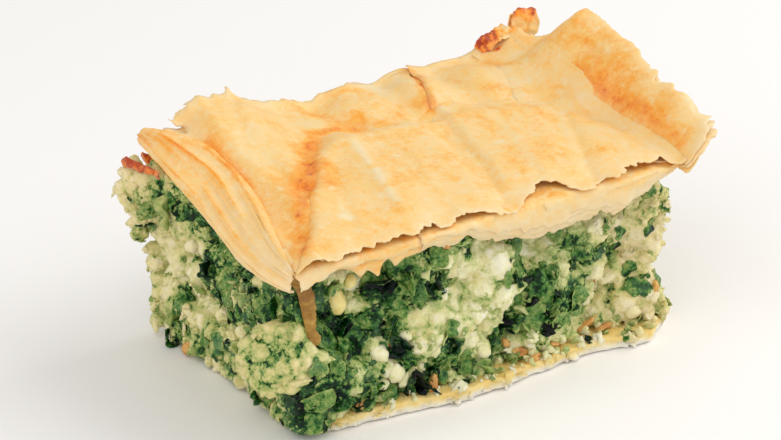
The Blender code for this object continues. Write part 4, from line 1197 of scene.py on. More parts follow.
def roughened(mesh, leaf, big, bare):  # crumpled where it is leaf, crumbly where it is curd
    points = pointsOf(mesh)
    wander = points + 1.1 * np.column_stack([waves(points, 4, k) for k in (611, 612, 613)])
    crumple = sum((0.5 - 1.9 * np.abs(waves(wander, mash["crumpleSize"] / 2 ** k, 631 + k))) * 0.6 ** k
                  for k in range(3))
    leafRise = mash["crumple"] * (crumple - 0.1)
    strayed = points + 0.7 * np.column_stack([waves(points, 1.8, k) for k in (616, 617, 618)])
    first, further = lumps(strayed, mash["crumbSize"], 619)
    curdRise = mash["crumbs"] * (smooth((further - first) / 0.5) - 0.6) + 0.35 * layeredWaves(points, 2.6, 3, 615)
    curdRise *= 1 - 0.15 * big
    side = smooth(leaf * 1.6 - 0.3)
    rise = (leafRise * side + curdRise * (1 - side)) * bare
    movePoints(mesh, points + normalsOf(mesh) * rise[:, None])
    return crumple


def shadeOf(points, tree, leaf, tone, crumple):
    # how dark the mass is: smeared leaf darker than curd; crumpled leaf lighter on its ridges and darker in its
    # folds, a painted highlight and painted shade; the left end darker, painted shade on the side away from the
    # window light; and darker the deeper it lies below the surface, painted shade in the crevices
    below = np.empty(len(points))
    for k, point in enumerate(points):
        place, facing, _, _ = tree.find_nearest(Vector(point))
        below[k] = (place - Vector(point)) @ facing
    smear = smooth((leaf + 1.0 * layeredWaves(points, 3.4, 3, 641) - 0.22) / 0.56)
    pale = 0.54 - 0.36 * tone + 0.34 * layeredWaves(points, 4.6, 3, 651) + 0.08 * smooth((-50 - points[:, 0]) / 4)
    dark = 0.92 - 0.20 * tone - 0.24 * np.clip(crumple * 0.7 + 0.5, 0, 1) + 0.26 * layeredWaves(points, 3.2, 3, 661)
    return pale * (1 - smear) + dark * smear + 0.55 * smooth((below - 1.9) / 2.2)


def makeCore():
    mesh = wholeCopy("filling")
    tree = treeOf(mesh)
    middles, sizes, turns, leafy, tones = lumpTable(mesh, tree)
    middles, leafy, tones, deepSpots = hollowed(mesh, tree, middles, leafy, tones)
    obj = joined("fillingCore", [placed("fillingCore", mesh), lumpsBuilt(middles, sizes, turns)])
    regrained(obj, mash["voxel"], mash["smoothing"])
    mesh = obj.data
    points = pointsOf(mesh)
    owner, second, gap = nearestTwo(points, middles, sizes.mean(axis=1))
    edge = np.exp(-gap / np.where(owner < wholeLumps, 0.8, 0.35)) * 0.5
    leaf, tone = (column[owner] * (1 - edge) + column[second] * edge for column in (leafy, tones))
    big = np.where(owner < wholeLumps, 1.0, 0.0) * (1 - edge)
    bare = sideways(points, normalsOf(mesh))
    deep = np.max([bell(np.linalg.norm(points - spot, axis=1), reach * 1.05) for spot, reach in deepSpots], axis=0)
    crumple = roughened(mesh, leaf, big, bare)
    points = pointsOf(mesh)
    shade = shadeOf(points, tree, leaf, tone, crumple)
    shade = shade + 0.34 * (1 - 0.5 * big) * np.exp(-gap / 0.45)  # darker between the lumps: painted shade in the cracks
    crowd = np.clip(nearSpots(tree, points, leafSpots, 5) - nearSpots(tree, points, curdSpots, 5), -1, 1)
    # leafier where leaves crowd, and darker still in the hollows: painted shade in the hollows, over the dark leaf
    # there
    shade = (shade + 0.10 * crowd) * (1 - 0.85 * deep) + 0.85 * deep
    for key, values in {"leaf": leaf, "big": big, "deep": deep, "shade": np.clip(shade, 0.10, 0.93)}.items():
        markPoints(mesh, key, values)
    hidden = obj.vertex_groups.new(name="hidden")
    hidden.add(np.where(bare < 0.02)[0].tolist(), 1.0, "REPLACE")
    fewer = obj.modifiers.new("fewer", "DECIMATE")
    fewer.ratio, fewer.vertex_group = mash["hiddenShare"], "hidden"
    settled(obj)
    obj.vertex_groups.clear()
    return obj


def roomOn(mesh):
    # where loose bits may lie: the sides of the cut block, more or less thickly
    points, normals = pointsOf(mesh), normalsOf(mesh)
    bare = sideways(points, normals) * smooth((50 - points[:, 2]) / 4) * (1 - markOf(mesh, "deep"))
    leafy = markOf(mesh, "leaf")
    bare *= smooth((points[:, 0] + 65.0) / 1.5)
    patch = smooth(0.5 + 1.4 * layeredWaves(points, 6, 2, 621))
    markPoints(mesh, "leafRoom", bare * (0.05 + 0.95 * smooth((leafy - 0.35) / 0.5)))
    big = 1 - 0.8 * markOf(mesh, "big")
    markPoints(mesh, "curdRoom", bare * big * (1 - 0.40 * smooth((leafy - 0.35) / 0.5)) * (0.35 + 0.65 * patch))
    markPoints(mesh, "fleckRoom", bare * big * (0.35 + 0.65 * patch))


def leafPiece(piece):
    # a torn, crumpled scrap of leaf in its own plane
    piece = {"long": 1.25, "curl": 0.35, **piece}
    seed, size, (across, along) = piece["seed"], piece["size"], piece["cells"]
    v, u = np.meshgrid(np.linspace(-1, 1, across + 1), np.linspace(-1, 1, along + 1), indexing="ij")
    x, y = u * np.sqrt(1 - 0.42 * v ** 2), v * np.sqrt(1 - 0.42 * u ** 2)  # corners drawn in
    flat = np.column_stack([x.ravel(), y.ravel(), np.full(x.size, seed * 3.1)])
    torn = 1 + 0.34 * layeredWaves(flat * 1.2, 1.1, 2, seed)
    x, y = x.ravel() * torn * size * piece["long"], y.ravel() * torn * size * 0.8
    z = size * (piece["fold"] * np.abs(flat[:, 1] + 0.25 * waves(flat, 1.0, seed + 1)) * 0.8
                + piece["curl"] * (flat[:, 0] ** 2 - 0.3)
                + piece["crumple"] * layeredWaves(flat, 0.75, 3, seed + 2))
    faces = gridFaces(across + 1, along + 1)[:, [0, 3, 2, 1]]
    rim = np.maximum(np.abs(u), np.abs(v)).ravel() ** 6
    return np.column_stack([x, y, z]), faces, {"rim": rim}


def lumpPiece(seed, size, rough, level):
    points, faces = ballShape(level)
    spots = points + seed * 3.7
    first, second = lumps(spots, 0.85, seed)
    swell = 1 + rough * (0.7 * (smooth((second - first) / 0.5) - 0.6) + 1.3 * layeredWaves(spots, 1.3, 2, seed + 3))
    return points * swell[:, None] * np.asarray(size, float), faces, {}


def shapesFor(name, made, thick=None):
    # a small set of loose shapes near the origin, for scattering
    group = bpy.data.collections.new(name)
    for k, (points, faces, marks) in enumerate(made):
        mesh = bpy.data.meshes.new(f"{name}{k}")
        mesh.from_pydata((np.asarray(points) * mm).tolist(), [], [list(map(int, f)) for f in faces])
        for key, values in marks.items():
            markPoints(mesh, key, values)
        mesh.shade_smooth()
        obj = placed(f"{name}{k}", mesh)
        if thick:
            thickened(obj, thick)
        bpy.context.scene.collection.objects.unlink(obj)
        group.objects.link(obj)
    return group


def scatterTree():
    tree = bpy.data.node_groups.new("looseBits", "GeometryNodeTree")
    face = tree.interface
    face.new_socket("Geometry", in_out="OUTPUT", socket_type="NodeSocketGeometry")
    sockets = {}
    for label, kind in (("Geometry", "Geometry"), ("Shapes", "Collection"), ("Room", "String"), ("Most", "Float"),
                        ("Apart", "Float"), ("Smallest", "Float"), ("Largest", "Float"), ("Sink", "Float"),
                        ("Tilt", "Float"), ("Kinds", "Int"), ("Seed", "Int"), ("Darker", "Float"),
                        ("Lighter", "Float"), ("Palest", "Float"), ("Finish", "Material")):
        sockets[label] = face.new_socket(label, in_out="INPUT", socket_type="NodeSocket" + kind).identifier
    given = tree.nodes.new("NodeGroupInput").outputs

    def node(kind, settings=None, **inputs):
        return addedNode(tree, kind, settings, **inputs)

    def random(kind, low, high, salt):
        first, second, out = {"FLOAT": (2, 3, 1), "INT": (4, 5, 2), "FLOAT_VECTOR": (0, 1, 0)}[kind]
        seed = node("FunctionNodeIntegerMath", {"operation": "ADD"}, i0=given["Seed"], i1=salt).outputs[0]
        ends = {f"i{first}": low, f"i{second}": high}
        return node("FunctionNodeRandomValue", {"data_type": kind}, Seed=seed, **ends).outputs[out]

    def mark(name):
        return node("GeometryNodeInputNamedAttribute", {"data_type": "FLOAT"}, Name=name).outputs["Attribute"]

    spots = node("GeometryNodeDistributePointsOnFaces", {"distribute_method": "POISSON"}, Mesh=given["Geometry"],
                 Distance_Min=given["Apart"], Density_Max=given["Most"], Density_Factor=mark(given["Room"]),
                 Seed=given["Seed"])
    kinds = node("GeometryNodeCollectionInfo", Collection=given["Shapes"], Separate_Children=True,
                 Reset_Children=True)
    last = node("FunctionNodeIntegerMath", {"operation": "SUBTRACT"}, i0=given["Kinds"], i1=1).outputs[0]
    back = node("ShaderNodeMath", {"operation": "MULTIPLY"}, i0=given["Tilt"], i1=-1.0).outputs[0]
    lowTurn = node("ShaderNodeCombineXYZ", X=back, Y=back, Z=0.0).outputs[0]
    highTurn = node("ShaderNodeCombineXYZ", X=given["Tilt"], Y=given["Tilt"], Z=2 * math.pi).outputs[0]
    turn = node("FunctionNodeEulerToRotation", Euler=random("FLOAT_VECTOR", lowTurn, highTurn, 3)).outputs[0]
    facing = node("FunctionNodeRotateRotation", {"rotation_space": "LOCAL"}, Rotation=spots.outputs["Rotation"],
                  Rotate_By=turn).outputs[0]
    inward = node("ShaderNodeVectorMath", {"operation": "SCALE"}, i0=spots.outputs["Normal"],
                  Scale=given["Sink"]).outputs[0]
    sunk = node("GeometryNodeSetPosition", Geometry=spots.outputs["Points"], Offset=inward).outputs[0]
    laid = node("GeometryNodeInstanceOnPoints", Points=sunk, Instance=kinds.outputs[0],
                Pick_Instance=True, Instance_Index=random("INT", 0, last, 5), Rotation=facing,
                Scale=random("FLOAT", given["Smallest"], given["Largest"], 7)).outputs[0]
    tone = random("FLOAT", given["Lighter"], given["Darker"], 9)
    moved = node("ShaderNodeMath", {"operation": "ADD"}, i0=mark("shade"), i1=tone).outputs[0]
    held = node("ShaderNodeMath", {"operation": "MAXIMUM"}, i0=moved, i1=given["Palest"]).outputs[0]
    toned = node("GeometryNodeStoreNamedAttribute", {"data_type": "FLOAT", "domain": "INSTANCE"},
                 Geometry=laid, Name="shade", Value=held).outputs[0]
    real = node("GeometryNodeRealizeInstances", Geometry=toned).outputs[0]
    painted = node("GeometryNodeSetMaterial", Geometry=real, Material=given["Finish"]).outputs[0]
    tree.links.new(painted, tree.nodes.new("NodeGroupOutput").inputs[0])
    return tree, sockets


looseBits, bitSockets = scatterTree()


def scattered(name, bed, shapes, bits, material):
    obj = placed(name, bed.data.copy())
    for k in range(len(obj.data.materials)):
        obj.data.materials[k] = material
    lay = obj.modifiers.new("lay", "NODES")
    lay.node_group = looseBits
    given = {"Shapes": shapes, "Room": bits["room"], "Most": bits["perSquareCm"] * 1e4, "Apart": bits["apart"] * mm,
             "Smallest": bits["smallest"], "Largest": bits["largest"], "Sink": bits["sink"] * mm,
             "Tilt": bits["tilt"], "Kinds": len(shapes.objects), "Seed": bits["seed"], "Finish": material,
             "Lighter": bits["tones"][0], "Darker": bits["tones"][1], "Palest": bits["tones"][2]}
    for label, value in given.items():
        lay[bitSockets[label]] = value
    settled(obj)
    for shape in list(shapes.objects):
        bpy.data.objects.remove(shape)
    bpy.data.collections.remove(shapes)
    for extra in [a.name for a in obj.data.attributes if a.data_type == "FLOAT" and a.name not in ("shade", "rim")]:
        obj.data.attributes.remove(obj.data.attributes[extra])
    return finished(obj, material, bits.get("slot", "filling"))


leafFinish = Finish("spinachLeaf", Roughness=0.28, IOR=1.45, Specular_IOR_Level=0.24, Subsurface_Weight=0.08,
                    Subsurface_Scale=0.0012, Subsurface_Radius=(0.4, 1.0, 0.3))
curdFinish = Finish("curdCrumb", Roughness=0.36, IOR=1.42, Specular_IOR_Level=0.35, Subsurface_Weight=0.30,
                    Subsurface_Scale=0.0016, Subsurface_Radius=(1.0, 0.9, 0.5))
coreFinish = Finish("choppedFilling", Roughness=0.36, IOR=1.44, Specular_IOR_Level=0.22, Subsurface_Weight=0.20,
                    Subsurface_Scale=0.0012, Subsurface_Radius=(0.8, 1.0, 0.5))

massStops = ((0.0, (254, 251, 232)), (0.18, (249, 245, 210)), (0.34, (238, 233, 182)), (0.48, (212, 214, 150)),
             (0.62, (178, 192, 116)), (0.72, (134, 160, 84)), (0.80, (70, 122, 50)), (0.87, (8, 58, 20)),
             (1.0, (0, 12, 8)))


def massColour(f, value):  # from pale curd through smeared green to dark leaf
    colour = f.ramp(value, *massStops)
    curdy = f.scaled(value, 1.0, 0.0, 0.40, 0.62)
    yellow = f.times(f.scaled(f.noise(5, 3), 0.0, 0.55, 0.52, 0.72), curdy)
    colour = f.mixed(yellow, colour, linear(214, 196, 96))
    leafy = f.scaled(value, 0.0, 1.0, 0.60, 0.78)
    # greyish-green patches on the leafy parts: painted wet sheen, partly the leaf's own cooler green
    paleAndSheen = f.times(f.scaled(f.noise(8, 3), 0.0, 0.44, 0.52, 0.68), leafy)
    colour = f.mixed(paleAndSheen, colour, linear(100, 144, 100))
    across = f.node("ShaderNodeSeparateXYZ", Vector=f.place).outputs["X"]
    ends = f.sum(f.scaled(across, 1.0, 0.0, -0.062, -0.050), f.scaled(across, 0.0, 1.0, 0.022, 0.044))
    warm = f.times(f.times(ends, f.scaled(value, 1.0, 0.0, 0.46, 0.80)), 0.44)  # yellower curd towards both ends
    return f.mixed(warm, colour, linear(226, 198, 134))


def massFinish(f, coarse, fine, paleAndSheen, gloss):
    calm = f.scaled(f.mark("big"), 1.0, 0.85)
    value = f.sum(f.mark("shade"), f.times(f.sum(varied(f, 1.7, coarse), varied(f, 0.7, fine)), calm))
    # pale flecks on the leafy parts: crumbs of curd, and painted wet glints
    flecksAndGlints = f.times(f.scaled(f.noise(0.9, 3, 0.6), 0.0, paleAndSheen, 0.56, 0.70), f.scaled(value, 0.0, 1.0, 0.5, 0.75))
    # leaf edges a little lighter: painted highlight along them
    value = f.sum(f.sum(value, flecksAndGlints, "SUBTRACT"), f.times(f.mark("rim"), -0.06))
    value = f.sum(value, 0.07, "MAXIMUM")
    relief = f.bump(f.noise(0.8, 4, 0.65, warp=0.5), 0.60, 0.35)
    return f.wear(Base_Color=massColour(f, value), Roughness=f.scaled(f.noise(1.8, 3), *gloss), Normal=relief)


spinachLeaf = massFinish(leafFinish, 0.38, 0.26, 0.10, (0.14, 0.30))
curdCrumb = massFinish(curdFinish, 0.60, 0.44, 0.22, (0.26, 0.46))
choppedFilling = massFinish(coreFinish, 0.60, 0.66, 0.22, (0.20, 0.44))

fillingCore = makeCore()
roomOn(fillingCore.data)
coreTree = treeOf(fillingCore.data)
coreRoom = {"points": pointsOf(fillingCore.data), "normals": normalsOf(fillingCore.data),
            "leaf": markOf(fillingCore.data, "leafRoom")}
finished(fillingCore, choppedFilling, "filling", "filling")

looseLeaves = {"room": "leafRoom", "perSquareCm": 6, "apart": 2.0, "smallest": 0.4, "largest": 1.05, "sink": -0.25,
               "tilt": 0.8, "seed": 71, "tones": (-0.10, 0.26, 0.70)}
looseCurds = {"room": "curdRoom", "perSquareCm": 9, "apart": 2.1, "smallest": 0.45, "largest": 1.6, "sink": -0.4,
              "tilt": 3.1, "seed": 72, "tones": (-0.20, 0.08, 0.12)}
looseCrumbs = {"room": "curdRoom", "perSquareCm": 24, "apart": 0.9, "smallest": 0.4, "largest": 1.4, "sink": -0.15,
               "tilt": 3.1, "seed": 73, "tones": (-0.18, 0.14, 0.12)}
looseFlecks = {"room": "fleckRoom", "perSquareCm": 7, "apart": 1.8, "smallest": 0.6, "largest": 1.6, "sink": -0.05,
               "tilt": 0.4, "seed": 74, "tones": (0.06, 0.36, 0.60)}

leafScraps = [leafPiece({"seed": 80 + k, "size": 1.7 + 0.3 * (k % 4), "cells": (6, 8), "fold": 0.5 + 0.16 * (k % 5),
                         "curl": -0.3 - 0.2 * (k % 3), "crumple": 1.3, "long": 1.0 + 0.3 * (k % 4)})
              for k in range(10)]
curdLumps = [lumpPiece(100 + k, (1.3 + 0.25 * (k % 3), 0.95, 0.7 + 0.15 * (k % 2)), 0.6, 3) for k in range(8)]
fineCrumbs = [lumpPiece(120 + k, (0.66, 0.5, 0.36), 0.5, 1) for k in range(6)]
fineFlecks = [leafPiece({"seed": 140 + k, "size": 0.8, "cells": (2, 3), "crumple": 0.6, "fold": 0.3})
              for k in range(6)]
scattered("looseLeaves", fillingCore, shapesFor("leafScraps", leafScraps, 0.2), looseLeaves, spinachLeaf)
scattered("looseCurds", fillingCore, shapesFor("curdLumps", curdLumps), looseCurds, curdCrumb)
scattered("looseCrumbs", fillingCore, shapesFor("fineCrumbs", fineCrumbs), looseCrumbs, curdCrumb)
scattered("looseFlecks", fillingCore, shapesFor("fineFlecks", fineFlecks, 0.16), looseFlecks, spinachLeaf)
fillingCore.modifiers.new("lighter", "DECIMATE").ratio = mash["lastShare"]
settled(fillingCore)


# wet leaves lying over the lumps

bigLeaves = {  # across, up, size, tone
    "front": [(-55, 10, 7.0, 0.0), (-51, 11, 4.6, 0.4), (-54, 4, 6, 0.0), (-47, 25, 5.0, 0.25), (-38, 24, 4.6, 0.02),
              (-48, 31, 3.6, 0.1), (-45, 19, 4.4, 0.42), (-36, 9, 4.0, 0.1), (-52, 6, 4, 0.2), (-36, 7, 4.5, 0.35),
              (-32, 37, 4.0, 0.55), (-28, 31, 4.0, 0.05), (-24, 37, 5.0, 0.3), (-16, 41, 4.5, 0.35),
              (-29, 5, 4.5, 0.2), (-22, 5, 4.0, 0.35), (-14, 8, 4.0, 0.2), (-7, 8, 3.6, 0.55), (2, 7, 3.6, 0.1),
              (4, 29, 3.0, 0.6), (10, 36, 4.6, 0.5), (9, 30, 4.0, 0.2), (15, 24, 5.5, 0.1), (18, 19, 5.0, 0.3),
              (14, 15, 4.6, 0.25), (21, 36, 4.2, 0.5), (28, 15, 4.4, 0.6), (28, 28, 3.6, 0.2), (36, 28, 3.6, 0.15),
              (48, 13, 4.4, 0.2), (50, 40, 3.2, 0.5), (41, 30, 3.2, 0.1), (50, 30, 3.0, 0.15), (35, 34, 2.6, 0.2),
              (56, 34, 2.6, 0.3), (46, 18, 3.0, 0.2), (54, 14, 2.6, 0.25), (-33, 26, 4.0, 0.1), (-25, 27, 3.6, 0.3),
              (-12, 19, 3.4, 0.5), (22, 12, 3.8, 0.35), (-52, 20, 4.0, 0.45), (42, 25, 3.0, 0.1), (8, 20, 4.0, 0.3)],
    "left": [(24, 40, 4.4, 0.3), (31, 33, 3.0, 0.1), (9, 42, 5.0, 0.05), (2, 44, 4.0, 0.05), (10, 24, 3.4, 0.15),
             (1, 24, 4.2, 0.35), (-16, 28, 4.6, 0.5), (-21, 30, 4.0, 0.6), (-11, 35, 4.4, 0.1), (-8, 24, 3.6, 0.1),
             (3, 11, 4.0, 0.4), (-24, 34, 4.4, 0.65), (-34, 37, 4.6, 0.45), (-2, 32, 4.0, 0.2), (24, 13, 3.4, 0.3),
             (10, 8, 3.4, 0.35)],
    "back": [(-40, 30, 5, 0.2), (-10, 22, 5, 0.1), (20, 34, 5, 0.3), (45, 15, 5, 0.2), (5, 8, 4.5, 0.15)],
    "right": [(-20, 28, 5, 0.2), (5, 16, 5, 0.1), (22, 34, 4.6, 0.3)],
}
drape = {"extra": 70, "from": 5.0, "drop": 4.0, "lift": 0.22, "fold": 0.62, "foldSize": 3.2, "cells": (14, 18),
         "thick": 0.22}


def drapedLeaf(number, place, normal, size, tone):
    # its grid falls onto the lumps below, then folds lift it here and there
    rng = np.random.default_rng(200 + number)
    points, faces, marks = leafPiece({"seed": 200 + number, "size": size * 0.72, "cells": drape["cells"],
                                      "fold": 0.0, "curl": 0.0, "crumple": 0.0, "long": rng.uniform(0.9, 1.4)})
    flat = points @ turnOf(normal, rng, 0.1).T
    flat -= np.outer(flat @ normal, normal)
    heights = np.empty(len(flat))
    for k, spot in enumerate(flat):
        start, reach = Vector(place + spot + normal * drape["from"]), drape["from"] + drape["drop"]
        hit = coreTree.ray_cast(start, Vector(-normal), reach)[0]
        heights[k] = np.nan if hit is None else (np.array(hit) - place) @ normal
    if np.isnan(heights).mean() > 0.12:  # it would stick out past the lumps
        return None
    heights = np.where(np.isnan(heights), -3.0, heights)
    grid = heights.reshape([c + 1 for c in drape["cells"]])
    for _ in range(2):
        edged = np.pad(grid, 1, mode="edge")
        beside = (edged[:-2, 1:-1] + edged[2:, 1:-1] + edged[1:-1, :-2] + edged[1:-1, 2:]) / 4
        grid = np.maximum(grid * 0.3 + beside * 0.7, beside)
    spots = flat + place
    ridge = 0.5 - 1.8 * np.abs(waves(spots, drape["foldSize"], 210 + number % 9))
    ridge = ridge + 0.5 * (0.5 - 1.8 * np.abs(waves(spots, drape["foldSize"] / 2, 230 + number % 9)))
    curl = marks["rim"] * (0.9 * waves(spots, 4.0, 250 + number % 9) - 0.15)
    height = grid.ravel() + drape["lift"] + drape["fold"] * ridge + curl * 1.4
    shape = spots + height[:, None] * normal
    # lighter on the fold ridges and darker between them: painted highlight and painted shade
    shade = 1.04 - 0.46 * tone - 0.20 * np.clip(0.5 + 0.6 * ridge, 0, 1) + 0.24 * layeredWaves(spots, 3.0, 2, 661)
    obj = meshBuilt(f"bigLeaf{number}", shape, faces, shade=np.clip(shade, 0.77, 0.95), **marks)
    return thickened(obj, drape["thick"])


def makeBigLeaves():
    made, rng = [], np.random.default_rng(81)
    for face, across, up, size, tone in ((face, *row) for face, rows in bigLeaves.items() for row in rows):
        place, normal = castOnto(coreTree, face, across, up)
        if place is not None:
            facing = unitRows(normal * 0.4 + np.array(facings[face], float))
            made.append(drapedLeaf(len(made), place, facing, size, tone))
    room = coreRoom["leaf"] / coreRoom["leaf"].sum()
    for k in rng.choice(len(room), drape["extra"], replace=False, p=room):
        facing, size = unitRows(coreRoom["normals"][k] * (1, 1, 0.3)), rng.uniform(2.0, 3.8)
        made.append(drapedLeaf(len(made), coreRoom["points"][k], facing, size, rng.uniform(0, 0.5)))
    return joined("bigLeaves", [leaf for leaf in made if leaf])


finished(makeBigLeaves(), spinachLeaf, "filling")
print("filling made")


# single pieces caught in the cut sides: kind and face, then across, up, how far out, half sizes, lean, shade

strays = [
    ("grain", "front", [(-42.6, 33.2, 3.2, (2.3, 2.0, 3.9), -12, 0.5), (-38.8, 37.6, 1.0, (1.5, 1.4, 1.8), 20, 0.5)]),
    ("pale", "front", [(-32.0, 17.0, 0.8, (3.1, 1.9, 2.1), 38, 0.24), (-28.2, 11.2, 0.7, (2.2, 1.8, 2.7), -18, 0.3),
                       (-25.4, 8.8, 0.6, (1.5, 1.5, 2.6), 10, 0.3), (-20.6, 9.6, 0.6, (1.5, 1.5, 2.9), 4, 0.36),
                       (-31.2, 8.4, 0.4, (2.0, 1.6, 1.7), 0, 0.3), (-24.2, 19.6, 0.4, (1.7, 1.6, 1.6), 0, 0.26),
                       (33.7, 21.0, 0.6, (1.9, 1.7, 2.1), 20, 0.28), (40.6, 16.4, 0.5, (3.0, 1.6, 1.5), -12, 0.24),
                       (45.4, 7.4, 0.7, (2.6, 2.0, 2.0), 20, 0.26), (12.6, 9.6, 0.4, (2.0, 1.6, 1.5), 12, 0.3),
                       (-2.0, 9.6, 0.5, (1.9, 1.7, 1.7), 0, 0.26)]),
    ("pale", "left", [(2.0, 18.6, 0.5, (1.7, 1.6, 1.9), 30, 0.28), (13.0, 33.6, 0.5, (2.2, 1.6, 1.8), -20, 0.2),
                      (-9.6, 19.4, 0.4, (1.6, 1.5, 1.7), 0, 0.26)]),
    ("onion", "front", [(10.4, 5.4, 0.6, (2.2, 1.1, 1.4), 30, 0), (12.6, 3.9, 1.4, (2.4, 1.0, 0.9), -16, 0),
                        (6.6, 8.6, 0.4, (1.5, 0.9, 1.1), 40, 0), (32.6, 5.8, 0.8, (3.2, 0.9, 0.8), -22, 0),
                        (37.0, 4.6, 1.2, (2.6, 0.9, 0.7), -14, 0), (20.4, 4.6, 1.0, (2.0, 0.9, 0.8), 10, 0),
                        (-17.4, 5.0, 0.9, (1.1, 0.9, 2.8), 12, 0), (-37.6, 5.0, 0.8, (2.2, 0.9, 1.6), 24, 0),
                        (-14.0, 42.6, 0.4, (1.2, 0.8, 1.9), -20, 0), (52.2, 12.4, 0.3, (1.0, 0.9, 2.2), 8, 0)]),
    ("onion", "left", [(33.0, 27.0, 0.2, (1.0, 0.7, 0.8), 0, 0), (18.4, 2.6, 0.9, (1.4, 1.0, 2.0), 16, 0)]),
    ("red", "front", [(-28.2, 18.0, 0.5, (0.7, 0.5, 0.6), 0, 0), (33.0, 20.4, 0.9, (0.35, 0.3, 1.5), 24, 0)]),
    ("spur", "front", [(56.0, 29.6, 0.6, (3.2, 0.9, 0.8), 24, 0.28)]),
    ("spur", "left", [(21.0, 5.4, 0.8, (0.6, 0.5, 2.6), 6, 0.3), (33.0, 2.8, 0.5, (1.4, 0.9, 1.8), -20, 0.34),
                      (9.4, 2.2, 0.6, (1.2, 0.9, 1.7), 16, 0.4)]),
]
onionFinish = Finish("onionBit", Roughness=0.34, Subsurface_Weight=0.2, Subsurface_Scale=0.0012,
                     Subsurface_Radius=(1.0, 0.5, 0.2))
redFinish = Finish("redFleck", Roughness=0.35)
grainFinish = Finish("yellowGrain", Roughness=0.28, Subsurface_Weight=0.25, Subsurface_Scale=0.0015,
                     Subsurface_Radius=(1.0, 0.8, 0.3))


def strayMaterials():
    colours = {
        "grain": (grainFinish, ((0.3, (232, 208, 116)), (0.6, (246, 232, 160)), (0.85, (214, 194, 104)))),
        "onion": (onionFinish, ((0.3, (232, 186, 104)), (0.5, (218, 160, 84)), (0.72, (186, 116, 62)))),
        "red": (redFinish, ((0.3, (150, 40, 26)), (0.7, (186, 78, 48))))}
    made = {"pale": curdCrumb, "spur": curdCrumb}
    for kind, (f, stops) in colours.items():
        made[kind] = f.wear(Base_Color=f.ramp(f.noise(2.4, 4), *stops), Normal=f.bump(f.noise(0.8, 3), 0.3, 0.2))
    return made


def makeStray(number, face, across, up, out, size, lean, shade, rough):
    points, faces, _ = lumpPiece(90 + number, size, rough, 3)
    spin = {"front": 0, "left": -90, "right": 90, "back": 180}[face]
    turn = np.array(Matrix.Rotation(math.radians(spin), 3, "Z") @ Matrix.Rotation(math.radians(lean), 3, "Y"))
    place, _ = castOnto(coreTree, face, across, up)
    place = place + np.array(facings[face], float) * (out - size[1] * 0.4)
    return meshBuilt(f"stray{number}", points @ turn.T + place, faces, shade=np.full(len(points), shade))


strayRough = {"grain": 0.09, "pale": 0.22, "onion": 0.5, "red": 0.3, "spur": 0.45}
strayPieces = {}
for number, (kind, face, row) in enumerate((kind, face, row) for kind, face, rows in strays for row in rows):
    strayPieces.setdefault(kind, []).append(makeStray(number, face, *row, strayRough[kind]))
for kind, material in strayMaterials().items():
    finished(joined(kind + "Pieces", strayPieces[kind]), material, "filling")


# the base: leaves soaked soft, with rough flakes along the lip

base = {"voxel": 0.8, "smoothing": 2, "tuckFrom": -44.0, "tuck": 0.45, "leafHeight": 1.05, "groove": 0.4,
        "rough": 0.9, "frontFrom": -34.0, "frontTuck": 0.14}


def makeBase():
    obj = regrained(placed("soakedBase", wholeCopy("bottom_pastry")), base["voxel"], base["smoothing"])
    points, normals = pointsOf(obj.data), normalsOf(obj.data)
    upright = np.sqrt(np.clip(1 - normals[:, 2] ** 2, 0, 1))
    leaves = np.abs(((points[:, 2] + 0.5 * waves(points, 9, 701)) / base["leafHeight"]) % 1.0 - 0.5) * 2
    push = -base["groove"] * smooth((leaves - 0.55) / 0.4) + base["rough"] * layeredWaves(points, 4.0, 3, 703)
    points += normals * (push * upright)[:, None]
    points[:, 2] += 0.8 * layeredWaves(points, 5, 3, 705) * smooth((points[:, 2] - 1.2) / 1.4)
    points[:, 0] += np.maximum(base["tuckFrom"] - points[:, 0], 0) * base["tuck"]  # hidden under the overhang
    points[:, 1] += np.maximum(base["frontFrom"] - points[:, 1], 0) * base["frontTuck"]
    movePoints(obj.data, points)
    normals = normalsOf(obj.data)
    top, x, y, z = smooth((normals[:, 2] - 0.5) / 0.3), *points.T
    rim = smooth((-34 - y) / 2) + smooth((y - 34) / 2) + smooth((-52 - x) / 2) + smooth((x - 56) / 2)
    patch = smooth(0.5 + 1.6 * layeredWaves(points, 7, 2, 707))
    markPoints(obj.data, "ledgeRoom", top * np.clip(rim, 0, 1) * (0.3 + 0.7 * patch))
    lip = smooth((z - 0.2) / 0.4) * smooth((2.6 - z) / 1.2)
    markPoints(obj.data, "lipRoom", (1 - top) * lip * (0.4 + 0.6 * patch))
    markPoints(obj.data, "shade", 0.34 + 0.5 * layeredWaves(points, 5, 2, 709))
    return obj


# the corner strip's finish, its ochre darkened as painted shade
stripFinish = Finish("soakedCrust", Roughness=0.4)
soakedFinish = Finish("soakedLeaf", Roughness=0.38, Subsurface_Weight=0.25, Subsurface_Scale=0.002,
                      Subsurface_Radius=(1.0, 0.8, 0.45))


def soakedMaterial(f, *stops):
    height = f.node("ShaderNodeSeparateXYZ", Vector=f.place).outputs["Z"]
    uneven = f.sum(height, f.sum(varied(f, 6, 1.6 * mm), varied(f, 1.6, 1.2 * mm)))
    juice = f.scaled(uneven, 0.06, 0.58, 0.5 * mm, 2.6 * mm)  # wetter and darker upwards
    value = f.sum(juice, f.sum(varied(f, 9, 0.5), varied(f, 1.8, 0.4)))
    colour = f.ramp(value, *stops)
    relief = f.bump(f.noise(1.0, 4, 0.65), 0.5, 0.35)
    return f.wear(Base_Color=colour, Roughness=f.scaled(f.noise(3, 2), 0.28, 0.5), Normal=relief)


